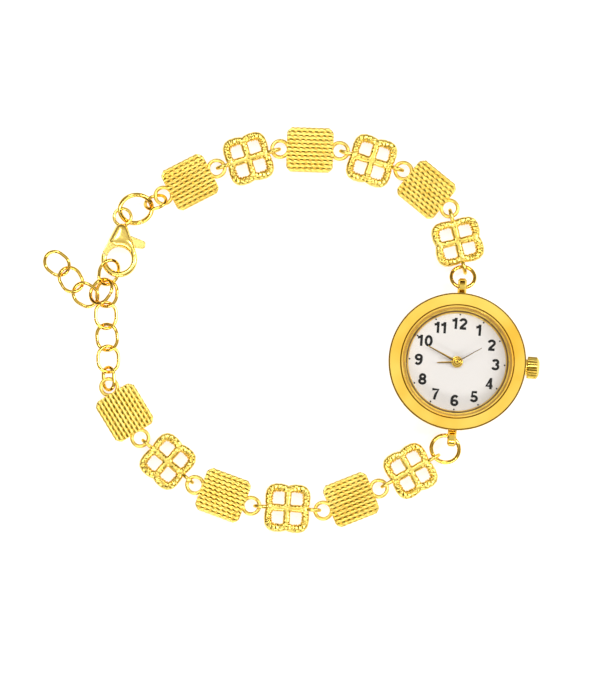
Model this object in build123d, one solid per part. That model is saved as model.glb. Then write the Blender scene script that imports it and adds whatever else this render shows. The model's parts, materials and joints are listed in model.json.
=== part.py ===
from build123d import *
import os
from math import acos, asin, atan2, cos, degrees, hypot, radians, sin, sqrt

# Ladies' bracelet watch, laid flat and closed into a loop by its lobster clasp.
# Millimetres. The origin is the middle of the caseback's outer face, +X points
# to the crown, +Y to twelve o'clock and +Z out of the dial.

os.makedirs("parts", exist_ok=True)

# Case
case_diameter = 19.4
case_wall = 1.9
case_height = 4.0
case_edge_round = 0.45
caseback_ledge = 1.0
caseback_thickness = 0.6
caseback_edge_round = 0.25
snap_ring_height = 0.5
snap_ring_wall = 0.45
gasket_ledge = 0.2
gasket_width = 0.35
gasket_height = 0.3
bezel_overhang = 0.3
bezel_thickness = 1.0
bezel_edge_round = 0.2
lip_width = 0.3
lip_height = 0.15
crystal_inset = 0.1
crystal_thickness = 0.95
crystal_step = 0.15
crystal_chamfer = 0.15
crystal_gasket_width = 0.2
crystal_gasket_height = 0.6
lug_stand_out = 1.25
lug_height = 2.7
lug_eye_diameter = 2.7
lug_bore_diameter = 1.5
lug_width = 1.25
lug_neck_height = 2.0
lug_rim = 0.25

# Dial, its sloped ring and the hands
dial_ring_seat = 0.2
dial_ring_slope = 0.4
dial_ring_foot_height = 0.22
dial_thickness = 0.35
dial_hole_diameter = 1.0
dial_gap = 0.05
hand_lift = 0.35
hand_spacing = 0.27
hand_thickness = 0.1
hour_hand_length = 2.9
hour_hand_width = 0.32
hour_hub_diameter = 1.66
minute_hand_length = 4.8
minute_hand_width = 0.3
minute_hub_diameter = 1.2
second_hand_length = 4.1
second_hand_width = 0.12
second_hub_diameter = 0.7
hand_taper_share = 0.55
hour_hand_turn = -264.5
minute_hand_turn = -295.0
second_hand_turn = -57.1

# Movement: its calibre follows the case, so its places and widths are shares of the
# main plate's radius
holder_width = 0.42
holder_gap = 0.04
plate_thickness = 0.35
plate_rim_width = 0.7
motion_depth = 0.48
bridge_inset = 0.18
bridge_rise = 0.35
bridge_thickness = 0.25
train_depth = 1.25
pillar_width_share = 0.1084
pillar_place_share = 0.8943
pillar_angles = (35, -45, 120)
battery_width_share = 0.786
battery_place_shares = (-0.3523, -0.481)
battery_thickness = 1.6
battery_gap = 0.25
strap_thickness = 0.12
strap_width = 1.2
strap_foot = 0.45
train_distance_share = 0.2168
rotor_distance_share = 0.1762
wheel_thickness = 0.15
wheel_gap = 0.1
arbor_diameter = 0.16
second_arbor_diameter = 0.2
pipe_wall = 0.12
pipe_gap = 0.04
pivot_gap = 0.03
third_direction = 10
intermediate_direction = 80
rotor_direction = 60
minute_wheel_direction = 215
rotor_width_share = 0.149
rotor_height = 0.25
rotor_gap = 0.15
stator_thickness = 0.3
stator_length_share = 0.5285
stator_inner_share = 0.2439
stator_outer_share = 0.542
stator_tab = 0.6
coil_place_share = 0.6369
coil_width_share = 0.149
coil_end_gap = 0.2
board_thickness = 0.2
board_edge_shares = (0.298, 0.935)
board_low_edge = 0.3
board_high_share = 0.515
chip_share = 0.2033
chip_height = 0.45
quartz_diameter = 1.0
quartz_length_share = 0.4607
quartz_place_shares = (-0.7046, 0.1626)

# Crown and stem
stem_diameter = 0.6
stem_inner_share = 0.4878
stem_height = 2.1
stem_block_shares = (0.5827, 0.8943)
stem_block_width = 1.6
stem_gap = 0.03
tube_diameter = 1.4
tube_stand_out = 0.9
tube_gap = 0.06
crown_diameter = 3.2
crown_length = 2.0
crown_stand_off = 0.35
crown_neck_length = 0.25
crown_neck_diameter = 2.2
crown_dome_height = 0.45
crown_dome_diameter = 2.3
crown_recess_depth = 0.85
crown_flute_diameter = 0.22
crown_flutes = 26
crown_wall = 0.35

# Tooth counts of the train and of the motion work
rotor_pinion_teeth = 6
intermediate_wheel_teeth = 30
intermediate_pinion_teeth = 6
second_wheel_teeth = 36
second_pinion_teeth = 6
third_wheel_teeth = 45
third_pinion_teeth = 6
centre_wheel_teeth = 48
cannon_pinion_teeth = 12
minute_wheel_teeth = 36
minute_pinion_teeth = 10
hour_wheel_teeth = 40
tooth_height_share = 0.8
tooth_depth_share = 1.1
tooth_root_share = 0.26
tooth_tip_share = 0.11

# Openwork links
openwork_length = 6.6
openwork_width = 7.0
openwork_thickness = 1.7
openwork_frame = 1.05
openwork_bar = 0.8
openwork_corner = 1.2
openwork_window_corner = 0.65
openwork_edge_chamfer = 0.25
eye_wire = 0.55
eye_bore_diameter = 1.3
eye_reach = 3.8
link_play = 0.3

# Textured links
textured_length = 6.8
textured_width = 6.5
textured_edge_thickness = 1.45
textured_crown = 0.3
textured_rows = 11
textured_cut_length = 0.75
textured_cut_width = 0.65
flat_ring_diameter = 2.95
flat_ring_reach = 4.35

# Round rings
upper_ring_diameter = 4.0
upper_ring_wire = 0.55
upper_ring_heading = 88
upper_ring_slip = 0
lower_ring_diameter = 4.7
lower_ring_wire = 0.6
lower_ring_heading = 243
lower_ring_slip = 20
small_ring_diameter = 3.2
small_ring_straight = 0.4
small_ring_wire = 0.5
large_ring_diameter = 5.38
large_ring_wire = 0.68

# Cable chain
chain_width = 3.7
chain_straight = 0.6
chain_wire = 0.5
chain_pitch = 3.2
oval_width = 2.7
oval_straight = 1.1
oval_pitch = 2.5

# Lobster clasp
clasp_eye_diameter = 3.0
clasp_eye_wire = 0.5
clasp_reach = 6.24
hook_bore_diameter = 3.6
hook_diameter = 5.3
hook_thickness = 1.0
hook_chamfer = 0.15
belly_thickness = 2.4
belly_round = 6.0
belly_share = 0.48
shoulder_diameter = 2.0
shoulder_share = 0.32
slot_thickness = 0.6
slot_start_share = 0.31
slot_end_share = 0.76
lever_thickness = 0.54
lever_pivot_share = 0.5
lever_hub_diameter = 1.7
lever_pin_diameter = 0.6
lever_gap = 0.05
tab_root_shares = (0.553, 0.192)
tab_root_diameter = 1.6
tab_tip_shares = (0.617, 0.497)
tab_tip_diameter = 1.24
gate_cut_shares = ((0.53, -0.45), (0.55, -0.332), (0.721, -0.03), (1.04, -0.03), (1.04, -0.48))
gate_arm_shares = ((0.36, -0.45), (0.36, 0.0), (0.7, 0.0), (1.04, -0.1), (1.04, -0.48))
gate_reach_share = 0.535
gate_gap = 0.07
spring_diameter = 0.5
spring_wall = 0.1
spring_start_share = 0.22
spring_hub_gap = 0.086
spring_offset_share = 0.03
clasp_heading = 269
clasp_tilt = 3

# The lie of the bracelet: headings in degrees along each branch, with the share
# of the play that each openwork link takes up (+1 pulled tight at one end)
upper_links = (
    ("openwork_link_1", 107, 0.0),
    ("textured_link_1", 144, 0.0),
    ("openwork_link_2", 166, -0.9),
    ("textured_link_2", 181.5, 0.0),
    ("openwork_link_3", 200.5, -0.9),
    ("textured_link_3", 210.5, 0.0),
)
lower_links = (
    ("openwork_link_4", 212, 1.8),
    ("textured_link_4", 204.5, 0.0),
    ("openwork_link_5", 179, 1.8),
    ("textured_link_5", 162.5, 0.0),
    ("openwork_link_6", 142.3, 1.8),
    ("textured_link_6", 124.3, 0.0),
)
small_ring_lie = (223.4, 197, 45, 7)
small_ring_step_share = 0.59
small_ring_lift_share = 0.33
large_ring_lie = (202.8, 214, -32, 12)
large_ring_step_share = 0.82
clasp_step = 213.9
clasp_step_share = 0.63
clasp_lift_share = 0.5
hook_angle = 231.5
oval_lie = (96, -45)
chain_lies = (
    ("chain_link_9", 93, 22.4),
    ("chain_link_8", 99, -22.4),
    ("chain_link_7", 93, 22.4),
    ("chain_link_6", 88, -22.4),
)
hooked_lie = (86, 33, 24)
hooked_lift_share = 0.3
hooked_offset_share = 0.5
free_lies = (
    ("chain_link_4", 237, 32, 5, 1.0),
    ("chain_link_3", 152, -19.2, 5, 0.1),
    ("chain_link_2", 122, 19, 6, 0.0),
    ("chain_link_1", 145, -21, 0, 0.0),
)

# One overrun serves every through cut
overrun = 1.0

# Heights of the head, built up from the caseback
case_bottom = caseback_thickness
case_top = case_bottom + case_height
bridge_bottom = case_bottom + bridge_rise
bridge_top = bridge_bottom + bridge_thickness
plate_bottom = bridge_top + train_depth
plate_top = plate_bottom + plate_thickness
dial_bottom = plate_top + motion_depth
dial_top = dial_bottom + dial_thickness
hour_hand_height = dial_top + hand_lift
minute_hand_height = hour_hand_height + hand_spacing
second_hand_height = minute_hand_height + hand_spacing
crystal_bottom = case_top + crystal_step
holder_bottom = case_bottom + snap_ring_height

# Radii that several pieces share
case_radius = case_diameter / 2
case_bore = case_radius - case_wall
crystal_radius = case_bore - crystal_inset
bezel_bore = crystal_radius + crystal_gasket_width
gasket_bore = case_bore + gasket_ledge
lug_reach = case_radius + lug_stand_out
plate_radius = case_bore - holder_width
bridge_radius = plate_radius - bridge_inset
arbor_radius = arbor_diameter / 2
second_arbor_radius = second_arbor_diameter / 2
centre_pipe_bore = second_arbor_radius + pipe_gap
centre_pipe_radius = centre_pipe_bore + pipe_wall
hour_pipe_bore = centre_pipe_radius + pipe_gap
hour_pipe_radius = hour_pipe_bore + pipe_wall


def turned(*points):
    """A solid of revolution about Z from its half section, given as radius and height."""
    section = make_face(Polyline(*[(radius, 0, height) for radius, height in points], close=True))
    return revolve(section, Axis.Z)


def washer(inner, outer, bottom, top):
    """A plain ring about Z."""
    return turned((inner, bottom), (outer, bottom), (outer, top), (inner, top))


def post(radius, bottom, top):
    """A round bar along Z that stands on the given height."""
    return Pos(0, 0, bottom) * extrude(Circle(radius), top - bottom)


def block(low, high):
    """A box between two corners."""
    size = [b - a for a, b in zip(low, high)]
    middle = [(a + b) / 2 for a, b in zip(low, high)]
    return Pos(*middle) * Box(*size)


def along_x(shape):
    """Turns a shape built along Z so that it lies along X."""
    return Rot(0, 90, 0) * shape


def polar(reach, angle):
    return (reach * cos(radians(angle)), reach * sin(radians(angle)))


def step(point, length, heading):
    """The point that lies one length further on at a heading."""
    move = polar(length, heading)
    return (point[0] + move[0], point[1] + move[1])


def heading_of(start, end):
    return degrees(atan2(end[1] - start[1], end[0] - start[0]))


def distance(start, end):
    return hypot(end[0] - start[0], end[1] - start[1])


def lie(shape, point, height, heading, roll=0, dip=0):
    """Puts a piece down: rolled about its length, its front dipped, then turned to a heading."""
    turn = Rot(0, 0, heading) * Rot(0, dip, 0) * Rot(roll, 0, 0)
    return Pos(point[0], point[1], height) * turn * shape


def wire_ring(radius, straight, wire_radius):
    """A closed wire link: two half rings joined by straight runs along X."""
    if straight == 0:
        return Torus(radius, wire_radius)
    front = Torus(radius, wire_radius, major_angle=180, align=None)
    run = along_x(Cylinder(wire_radius, straight))
    link = Pos(straight / 2, 0, 0) * Rot(0, 0, -90) * front
    link += Pos(-straight / 2, 0, 0) * Rot(0, 0, 90) * front
    link += Pos(0, radius, 0) * run
    link += Pos(0, -radius, 0) * run
    return link


def rest_height(radius, straight, wire_radius, roll, dip):
    """How high the middle of a tilted wire link lies when its lowest wire touches the table."""
    level = cos(radians(roll)) * cos(radians(dip))
    return radius * sqrt(1 - level ** 2) + straight / 2 * abs(sin(radians(dip))) + wire_radius


# Places on the bracelet
# Each piece has its middle, its heading and the point at which it hangs on the piece before it.

places = {}
pivots = {}
heights = {}

eye_radius = eye_bore_diameter / 2 + eye_wire / 2
eye_height = eye_bore_diameter / 2 + eye_wire
flat_ring_radius = (flat_ring_diameter - eye_wire) / 2
openwork_pivot = eye_reach + flat_ring_radius
upper_ring_radius = (upper_ring_diameter - upper_ring_wire) / 2
lower_ring_radius = (lower_ring_diameter - lower_ring_wire) / 2
small_ring_radius = (small_ring_diameter - small_ring_wire) / 2
large_ring_radius = (large_ring_diameter - large_ring_wire) / 2
clasp_eye_radius = (clasp_eye_diameter - clasp_eye_wire) / 2
hook_radius = (hook_bore_diameter + hook_diameter) / 4
chain_radius = (chain_width - chain_wire) / 2
oval_radius = (oval_width - chain_wire) / 2
hooked_reach = chain_pitch / 2 * cos(radians(hooked_lie[2]))


def head_ring(name, lug, radius, heading, slip):
    """Lays a head ring from its lug down to eye height; returns the point where the eye holds it."""
    drop = (lug_height - eye_height) / (radius * (1 + cos(radians(slip))))
    tilt = degrees(asin(drop))
    reach = radius * cos(radians(tilt))
    middle = step(lug, reach, heading)
    places[name] = (middle, heading, 0, tilt)
    heights[name] = lug_height - radius * drop
    pivots[name] = (lug[0], lug[1], lug_height)
    along = step(middle, reach * cos(radians(slip)), heading)
    return step(along, radius * sin(radians(slip)), heading - 90)


def link_run(start, links, turn):
    """Lays openwork and textured links end to end; returns the last ring's middle."""
    point = start
    for index, (name, nominal, pull_share) in enumerate(links):
        heading = nominal + turn
        if name.startswith("textured"):
            reaches = (flat_ring_reach, flat_ring_reach)
        elif index == 0:
            share = pull_share * link_play / 2
            reaches = (eye_reach + share, openwork_pivot + share)
        else:
            share = pull_share * link_play / 2
            reaches = (openwork_pivot + share, openwork_pivot + share)
        middle = step(point, reaches[0], heading)
        places[name] = (middle, heading, 0, 0)
        heights[name] = 0
        pivots[name] = (point[0], point[1], eye_height)
        point = step(middle, reaches[1], heading)
    return point


def halfway(name, start, end, start_height):
    """Notes the pivot of a ring halfway between the middles of the two pieces that it joins."""
    pivot_height = (start_height + heights[name]) / 2
    pivots[name] = ((start[0] + end[0]) / 2, (start[1] + end[1]) / 2, pivot_height)


def upper_branch(turn):
    """Lays the branch from the twelve o'clock lug to the clasp; returns the hook's holding point."""
    lug = (0, lug_reach)
    heading = upper_ring_heading + turn
    start = head_ring("head_ring_top", lug, upper_ring_radius, heading, upper_ring_slip)
    last_ring = link_run(start, upper_links, turn)
    small_step = small_ring_step_share * (flat_ring_radius + small_ring_radius)
    small = step(last_ring, small_step, small_ring_lie[0] + turn)
    large_step = large_ring_step_share * (small_ring_radius + large_ring_radius)
    large = step(small, large_step, large_ring_lie[0] + turn)
    eye_step = clasp_step_share * (large_ring_radius + clasp_eye_radius)
    eye = step(large, eye_step, clasp_step + turn)
    places["small_jump_ring"] = (small, *[small_ring_lie[1] + turn], *small_ring_lie[2:])
    places["large_jump_ring"] = (large, *[large_ring_lie[1] + turn], *large_ring_lie[2:])
    places["clasp_body"] = (eye, clasp_heading + turn, 0, -clasp_tilt)
    lift = small_ring_lift_share * small_ring_wire
    small_rest = rest_height(small_ring_radius, small_ring_straight, small_ring_wire / 2, *small_ring_lie[2:])
    heights["small_jump_ring"] = small_rest + lift
    heights["large_jump_ring"] = rest_height(large_ring_radius, 0, large_ring_wire / 2, *large_ring_lie[2:])
    heights["clasp_body"] = belly_thickness / 2 + clasp_lift_share * (clasp_eye_wire - hook_thickness / 2)
    halfway("small_jump_ring", last_ring, small, eye_height)
    halfway("large_jump_ring", small, large, heights["small_jump_ring"])
    halfway("clasp_body", large, eye, heights["large_jump_ring"])
    hook = step(eye, clasp_reach * cos(radians(clasp_tilt)), clasp_heading + turn)
    return step(hook, hook_radius, hook_angle + turn)


def lower_branch(turn):
    """Lays the branch from the six o'clock lug along the chain; returns the hooked link's point."""
    lug = (0, -lug_reach)
    heading = lower_ring_heading + turn
    start = head_ring("head_ring_bottom", lug, lower_ring_radius, heading, lower_ring_slip)
    point = link_run(start, lower_links, turn)
    heading = oval_lie[0] + turn
    places["end_oval_ring"] = (step(point, oval_pitch / 2, heading), heading, oval_lie[1], 0)
    heights["end_oval_ring"] = rest_height(oval_radius, oval_straight, chain_wire / 2, oval_lie[1], 0)
    pivots["end_oval_ring"] = (point[0], point[1], eye_height)
    point = step(point, oval_pitch, heading)
    for name, nominal, roll in chain_lies:
        heading = nominal + turn
        places[name] = (step(point, chain_pitch / 2, heading), heading, roll, 0)
        heights[name] = rest_height(chain_radius, chain_straight, chain_wire / 2, roll, 0)
        pivots[name] = (point[0], point[1], heights[name])
        point = step(point, chain_pitch, heading)
    nominal, roll, dip = hooked_lie
    heading = nominal + turn
    middle = step(point, hooked_reach, heading)
    places["chain_link_5"] = (middle, heading, roll, -dip)
    rest = rest_height(chain_radius, chain_straight, chain_wire / 2, roll, dip)
    heights["chain_link_5"] = rest + hooked_lift_share * chain_wire
    pivots["chain_link_5"] = (point[0], point[1], heights["chain_link_6"])
    return step(middle, hooked_offset_share * chain_wire, heading)


def free_end(turn):
    """Lays the four spare links that hang from the hooked link's lower end."""
    point = pivots["chain_link_5"][:2]
    for name, nominal, roll, dip, lift_share in free_lies:
        heading = nominal + turn
        reach = chain_pitch / 2 * cos(radians(dip))
        places[name] = (step(point, reach, heading), heading, roll, dip)
        rest = rest_height(chain_radius, chain_straight, chain_wire / 2, roll, dip)
        heights[name] = rest + lift_share * chain_wire
        pivots[name] = (point[0], point[1], heights[name])
        point = step(point, 2 * reach, heading)


# The loop closes where the hook's wire and the hooked link meet: both branches are
# first laid straight from their lugs, then each is turned about its lug until the
# two ends reach the same point.
upper_lug = (0, lug_reach)
lower_lug = (0, -lug_reach)
upper_end = upper_branch(0)
lower_end = lower_branch(0)
upper_span = distance(upper_lug, upper_end)
lower_span = distance(lower_lug, lower_end)
closing_y = (lower_span ** 2 - upper_span ** 2) / (4 * lug_reach)
closing_x = -sqrt(upper_span ** 2 - (closing_y - lug_reach) ** 2)
closing_point = (closing_x, closing_y)
upper_turn = heading_of(upper_lug, closing_point) - heading_of(upper_lug, upper_end)
lower_turn = heading_of(lower_lug, closing_point) - heading_of(lower_lug, lower_end)
upper_turn = (upper_turn + 180) % 360 - 180
lower_turn = (lower_turn + 180) % 360 - 180
upper_branch(upper_turn)
lower_branch(lower_turn)
free_end(lower_turn)


# Case pieces

def make_case_middle():
    shell = washer(case_bore, case_radius, case_bottom, case_top)
    shell = fillet(shell.edges().filter_by(GeomType.CIRCLE).sort_by(SortBy.RADIUS)[-2:], case_edge_round)
    shell -= washer(gasket_bore, gasket_bore + gasket_width, case_bottom, case_bottom + gasket_height)
    bore = lug_bore_diameter / 2
    rim = lug_eye_diameter / 2
    half = lug_width / 2
    eye = along_x(turned(
        (bore, lug_rim - half), (bore + lug_rim, -half), (rim - lug_rim, -half), (rim, lug_rim - half),
        (rim, half - lug_rim), (rim - lug_rim, half), (bore + lug_rim, half), (bore, half - lug_rim),
    ))
    neck_start = (case_bore + case_radius) / 2
    neck_end = lug_reach - bore - lug_rim / 2
    neck_half = lug_neck_height / 2
    neck = block((-half, neck_start, lug_height - neck_half), (half, neck_end, lug_height + neck_half))
    for turn in (0, 180):
        shell += Rot(0, 0, turn) * (Pos(0, lug_reach, lug_height) * eye + neck)
    tube_hole = along_x(post(tube_diameter / 2, 0, case_diameter))
    return shell - Pos(0, 0, stem_height) * tube_hole


def make_caseback():
    disc = post(case_radius - caseback_ledge, 0, caseback_thickness)
    disc = fillet(disc.edges().filter_by(GeomType.CIRCLE).sort_by(Axis.Z)[0], caseback_edge_round)
    snap = case_bore - pivot_gap
    return disc + washer(snap - snap_ring_wall, snap, caseback_thickness, holder_bottom)


def make_caseback_gasket():
    return washer(gasket_bore, gasket_bore + gasket_width, case_bottom, case_bottom + gasket_height)


def make_bezel():
    outer = case_radius + bezel_overhang
    top = case_top + bezel_thickness
    lip_foot = bezel_bore + lip_width
    return turned(
        (bezel_bore, case_top), (outer, case_top), (outer, top - bezel_edge_round),
        (outer - bezel_edge_round, top), (lip_foot, top), (lip_foot - lip_height / 2, top + lip_height),
        (bezel_bore + lip_height / 2, top + lip_height), (bezel_bore, top),
    )


def make_crystal():
    top = crystal_bottom + crystal_thickness
    return turned(
        (0, crystal_bottom), (crystal_radius, crystal_bottom), (crystal_radius, top - crystal_chamfer),
        (crystal_radius - crystal_chamfer, top), (0, top),
    )


def make_crystal_gasket():
    return washer(crystal_radius, bezel_bore, case_top, case_top + crystal_gasket_height)


def make_dial_ring():
    outer = case_bore - dial_gap - pivot_gap
    shelf = crystal_radius - pivot_gap
    mouth = crystal_radius - dial_ring_seat
    foot = mouth - dial_ring_slope
    return turned(
        (foot, dial_top), (outer, dial_top), (outer, case_top), (shelf, case_top), (shelf, crystal_bottom),
        (mouth, crystal_bottom), (foot, dial_top + dial_ring_foot_height),
    )


def make_dial():
    return washer(dial_hole_diameter / 2, case_bore - dial_gap, dial_bottom, dial_top)


# Hands

def make_hand(length, width, hub_diameter, bore, height, turn):
    """A tapered hand, pointing to twelve before it is turned, on a round hub."""
    tip = width * hand_taper_share / 2
    blade = make_face(Polyline((-width / 2, 0), (width / 2, 0), (tip, length), (-tip, length), close=True))
    hand = extrude(blade + Circle(hub_diameter / 2), hand_thickness)
    if bore > 0:
        hand -= post(bore, -overrun, overrun)
    return Pos(0, 0, height) * Rot(0, 0, turn) * hand


def make_second_hand():
    hand = make_hand(
        second_hand_length, second_hand_width, second_hub_diameter, 0, second_hand_height, second_hand_turn
    )
    sleeve_bottom = minute_hand_height + 2 * hand_thickness
    return hand + washer(second_arbor_radius, 2 * second_arbor_radius, sleeve_bottom, second_hand_height)


# Wheels

def gear(teeth, pitch_radius, bottom, phase):
    """A toothed disc with one tooth centred on the given direction."""
    module = 2 * pitch_radius / teeth
    tip = pitch_radius + tooth_height_share * module
    root = pitch_radius - tooth_depth_share * module
    points = []
    for tooth in range(teeth):
        middle = phase + 360 * tooth / teeth
        for radius, share in (
            (root, -tooth_root_share), (tip, -tooth_tip_share), (tip, tooth_tip_share), (root, tooth_root_share)
        ):
            points.append(polar(radius, middle + 360 * share / teeth))
    return Pos(0, 0, bottom) * extrude(make_face(Polyline(*points, close=True)), wheel_thickness)


def pitch_radii(distance_apart, driver_teeth, driven_teeth):
    """Shares a centre distance between two meshing wheels by their tooth counts."""
    driver = distance_apart * driver_teeth / (driver_teeth + driven_teeth)
    return driver, distance_apart - driver


def facing(direction, teeth):
    """The phase that turns a tooth gap towards a neighbour in the given direction."""
    return direction + 180 + 180 / teeth


def level(number):
    """The height of one layer of the train above the bridge."""
    return bridge_top + wheel_gap + number * (wheel_thickness + wheel_gap)


def motion_level(number):
    """The height of one layer of the motion work above the main plate."""
    return plate_top + wheel_gap + number * (wheel_thickness + wheel_gap / 2)


train_distance = train_distance_share * plate_radius
rotor_distance = rotor_distance_share * plate_radius
rotor_radius = rotor_width_share * plate_radius / 2
coil_radius = coil_width_share * plate_radius / 2
coil_offset = coil_place_share * plate_radius
stator_half = stator_length_share * plate_radius
stator_inner_edge = stator_inner_share * plate_radius
stator_outer_edge = stator_outer_share * plate_radius
coil_half = stator_half - stator_tab - coil_end_gap
coil_height = plate_bottom - stator_thickness - stator_thickness / 2
battery_radius = battery_width_share * plate_radius / 2
battery_place = [share * plate_radius for share in battery_place_shares]
arbor_bottom = bridge_bottom + pivot_gap
arbor_top = plate_bottom + plate_thickness / 2
third_place = polar(train_distance, third_direction)
intermediate_place = polar(train_distance, intermediate_direction)
rotor_place = step(intermediate_place, rotor_distance, rotor_direction)
minute_wheel_place = polar(train_distance, minute_wheel_direction)
rotor_pinion_radius, intermediate_radius = pitch_radii(
    rotor_distance, rotor_pinion_teeth, intermediate_wheel_teeth
)
intermediate_pinion_radius, second_radius = pitch_radii(
    train_distance, intermediate_pinion_teeth, second_wheel_teeth
)
second_pinion_radius, third_radius = pitch_radii(train_distance, second_pinion_teeth, third_wheel_teeth)
third_pinion_radius, centre_radius = pitch_radii(train_distance, third_pinion_teeth, centre_wheel_teeth)
cannon_radius, minute_radius = pitch_radii(train_distance, cannon_pinion_teeth, minute_wheel_teeth)
minute_pinion_radius, hour_radius = pitch_radii(train_distance, minute_pinion_teeth, hour_wheel_teeth)


def at(place, shape):
    return Pos(place[0], place[1], 0) * shape


def make_rotor():
    magnet_top = plate_bottom - wheel_gap / 2
    body = post(arbor_radius, arbor_bottom, arbor_top)
    body += gear(rotor_pinion_teeth, rotor_pinion_radius, level(1), facing(rotor_direction, rotor_pinion_teeth))
    return at(rotor_place, body + post(rotor_radius, magnet_top - rotor_height, magnet_top))


def make_intermediate_wheel():
    body = post(arbor_radius, arbor_bottom, arbor_top)
    body += gear(intermediate_wheel_teeth, intermediate_radius, level(1), rotor_direction)
    phase = facing(intermediate_direction, intermediate_pinion_teeth)
    body += gear(intermediate_pinion_teeth, intermediate_pinion_radius, level(0), phase)
    return at(intermediate_place, body)


def make_second_wheel():
    body = post(second_arbor_radius, arbor_bottom, second_hand_height)
    body += gear(second_wheel_teeth, second_radius, level(0), intermediate_direction)
    return body + gear(second_pinion_teeth, second_pinion_radius, level(2), third_direction)


def make_third_wheel():
    body = post(arbor_radius, arbor_bottom, arbor_top)
    body += gear(third_wheel_teeth, third_radius, level(2), facing(third_direction, third_wheel_teeth))
    return at(third_place, body + gear(third_pinion_teeth, third_pinion_radius, level(3), third_direction))


def make_centre_wheel():
    body = post(centre_pipe_radius, level(3), minute_hand_height + hand_thickness)
    body += gear(centre_wheel_teeth, centre_radius, level(3), facing(third_direction + 180, centre_wheel_teeth))
    body += gear(cannon_pinion_teeth, cannon_radius, motion_level(0), minute_wheel_direction)
    return body - post(centre_pipe_bore, case_bottom, case_top)


def make_minute_wheel():
    body = post(arbor_radius, arbor_top + pivot_gap, dial_bottom - pivot_gap)
    phase = facing(minute_wheel_direction, minute_wheel_teeth)
    body += gear(minute_wheel_teeth, minute_radius, motion_level(0), phase)
    return at(
        minute_wheel_place,
        body + gear(minute_pinion_teeth, minute_pinion_radius, motion_level(1), minute_wheel_direction),
    )


def make_hour_wheel():
    body = post(hour_pipe_radius, motion_level(1), hour_hand_height + hand_thickness)
    phase = facing(minute_wheel_direction + 180, hour_wheel_teeth)
    body += gear(hour_wheel_teeth, hour_radius, motion_level(1), phase)
    return body - post(hour_pipe_bore, case_bottom, case_top)


# Fixed pieces of the movement

def make_main_plate():
    plate = post(plate_radius, plate_bottom, plate_top)
    plate += washer(plate_radius - plate_rim_width, plate_radius, plate_top, dial_bottom)
    plate -= post(centre_pipe_radius + pipe_gap, plate_bottom - overrun, plate_top + overrun)
    for place in (third_place, intermediate_place, rotor_place, minute_wheel_place):
        plate -= at(place, post(arbor_radius + pivot_gap, plate_bottom - overrun, plate_top + overrun))
    room = coil_radius + pivot_gap
    plate -= block(
        (-coil_half - pivot_gap, coil_offset - room, plate_bottom - overrun),
        (coil_half + pivot_gap, coil_offset + room, coil_height + room),
    )
    block_start, block_end = [share * plate_radius for share in stem_block_shares]
    bearing = block(
        (block_start, -stem_block_width / 2, stem_height - stem_diameter),
        (block_end, stem_block_width / 2, plate_bottom),
    )
    bore = along_x(post(stem_diameter / 2 + stem_gap, 0, case_diameter))
    return plate + bearing - Pos(0, 0, stem_height) * bore


def make_train_bridge():
    bridge = post(bridge_radius, bridge_bottom, bridge_top)
    well = post(battery_radius + battery_gap, bridge_bottom - overrun, bridge_top + overrun)
    bridge -= at(battery_place, well)
    for place, radius in (
        ((0, 0), second_arbor_radius), (third_place, arbor_radius),
        (intermediate_place, arbor_radius), (rotor_place, arbor_radius),
    ):
        bridge -= at(place, post(radius + pivot_gap, bridge_bottom - overrun, bridge_top + overrun))
    pillar = post(pillar_width_share * plate_radius / 2, bridge_bottom, plate_bottom)
    for angle in pillar_angles:
        bridge += at(polar(pillar_place_share * plate_radius, angle), pillar)
    return bridge


def make_movement_holder():
    outer = case_bore - holder_gap
    inner = plate_radius + holder_gap
    ring = washer(inner, outer, holder_bottom, dial_bottom)
    hole = along_x(post(stem_diameter / 2 + 2 * stem_gap, 0, case_diameter))
    return ring - Pos(0, 0, stem_height) * hole


def make_stator():
    bottom = plate_bottom - stator_thickness
    plate = block((-stator_half, stator_inner_edge, bottom), (stator_half, stator_outer_edge, plate_bottom))
    for side in (-1, 1):
        inner = side * (stator_half - stator_tab)
        outer = side * stator_half
        tab_end = coil_offset + stator_tab / 2
        plate += block(
            (min(inner, outer), stator_outer_edge - stator_tab, bottom), (max(inner, outer), tab_end, plate_bottom)
        )
    return plate - at(rotor_place, post(rotor_radius + rotor_gap, bottom - overrun, plate_bottom + overrun))


def make_coil():
    half = stator_tab / 2
    core = block(
        (-stator_half, coil_offset - half, coil_height - stator_thickness / 2),
        (stator_half, coil_offset + half, coil_height + stator_thickness / 2),
    )
    winding = along_x(post(coil_radius, -coil_half, coil_half))
    return core + Pos(0, coil_offset, coil_height) * winding


def make_circuit_board():
    top = bridge_top + board_thickness
    inner, outer = [share * plate_radius for share in board_edge_shares]
    high = board_high_share * plate_radius
    board = block((-outer, -board_low_edge, bridge_top), (-inner, high, top))
    board &= post(outer, bridge_top, top)
    chip_side = chip_share * plate_radius
    chip_x = -inner - chip_side
    chip_y = high / 2
    half = chip_side / 2
    return board + block((chip_x - half, chip_y - half, top), (chip_x + half, chip_y + half, top + chip_height))


def make_quartz_can():
    height = bridge_top + board_thickness + quartz_diameter / 2
    half = quartz_length_share * plate_radius / 2
    can = post(quartz_diameter / 2, -half, half)
    can = chamfer(can.edges().filter_by(GeomType.CIRCLE), quartz_diameter / 8)
    x, y = [share * plate_radius for share in quartz_place_shares]
    return Pos(x, y, height) * Rot(90, 0, 0) * can


battery_top = plate_bottom - pivot_gap
battery_bottom = battery_top - battery_thickness


def make_battery():
    return at(battery_place, post(battery_radius, battery_bottom, battery_top))


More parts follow.
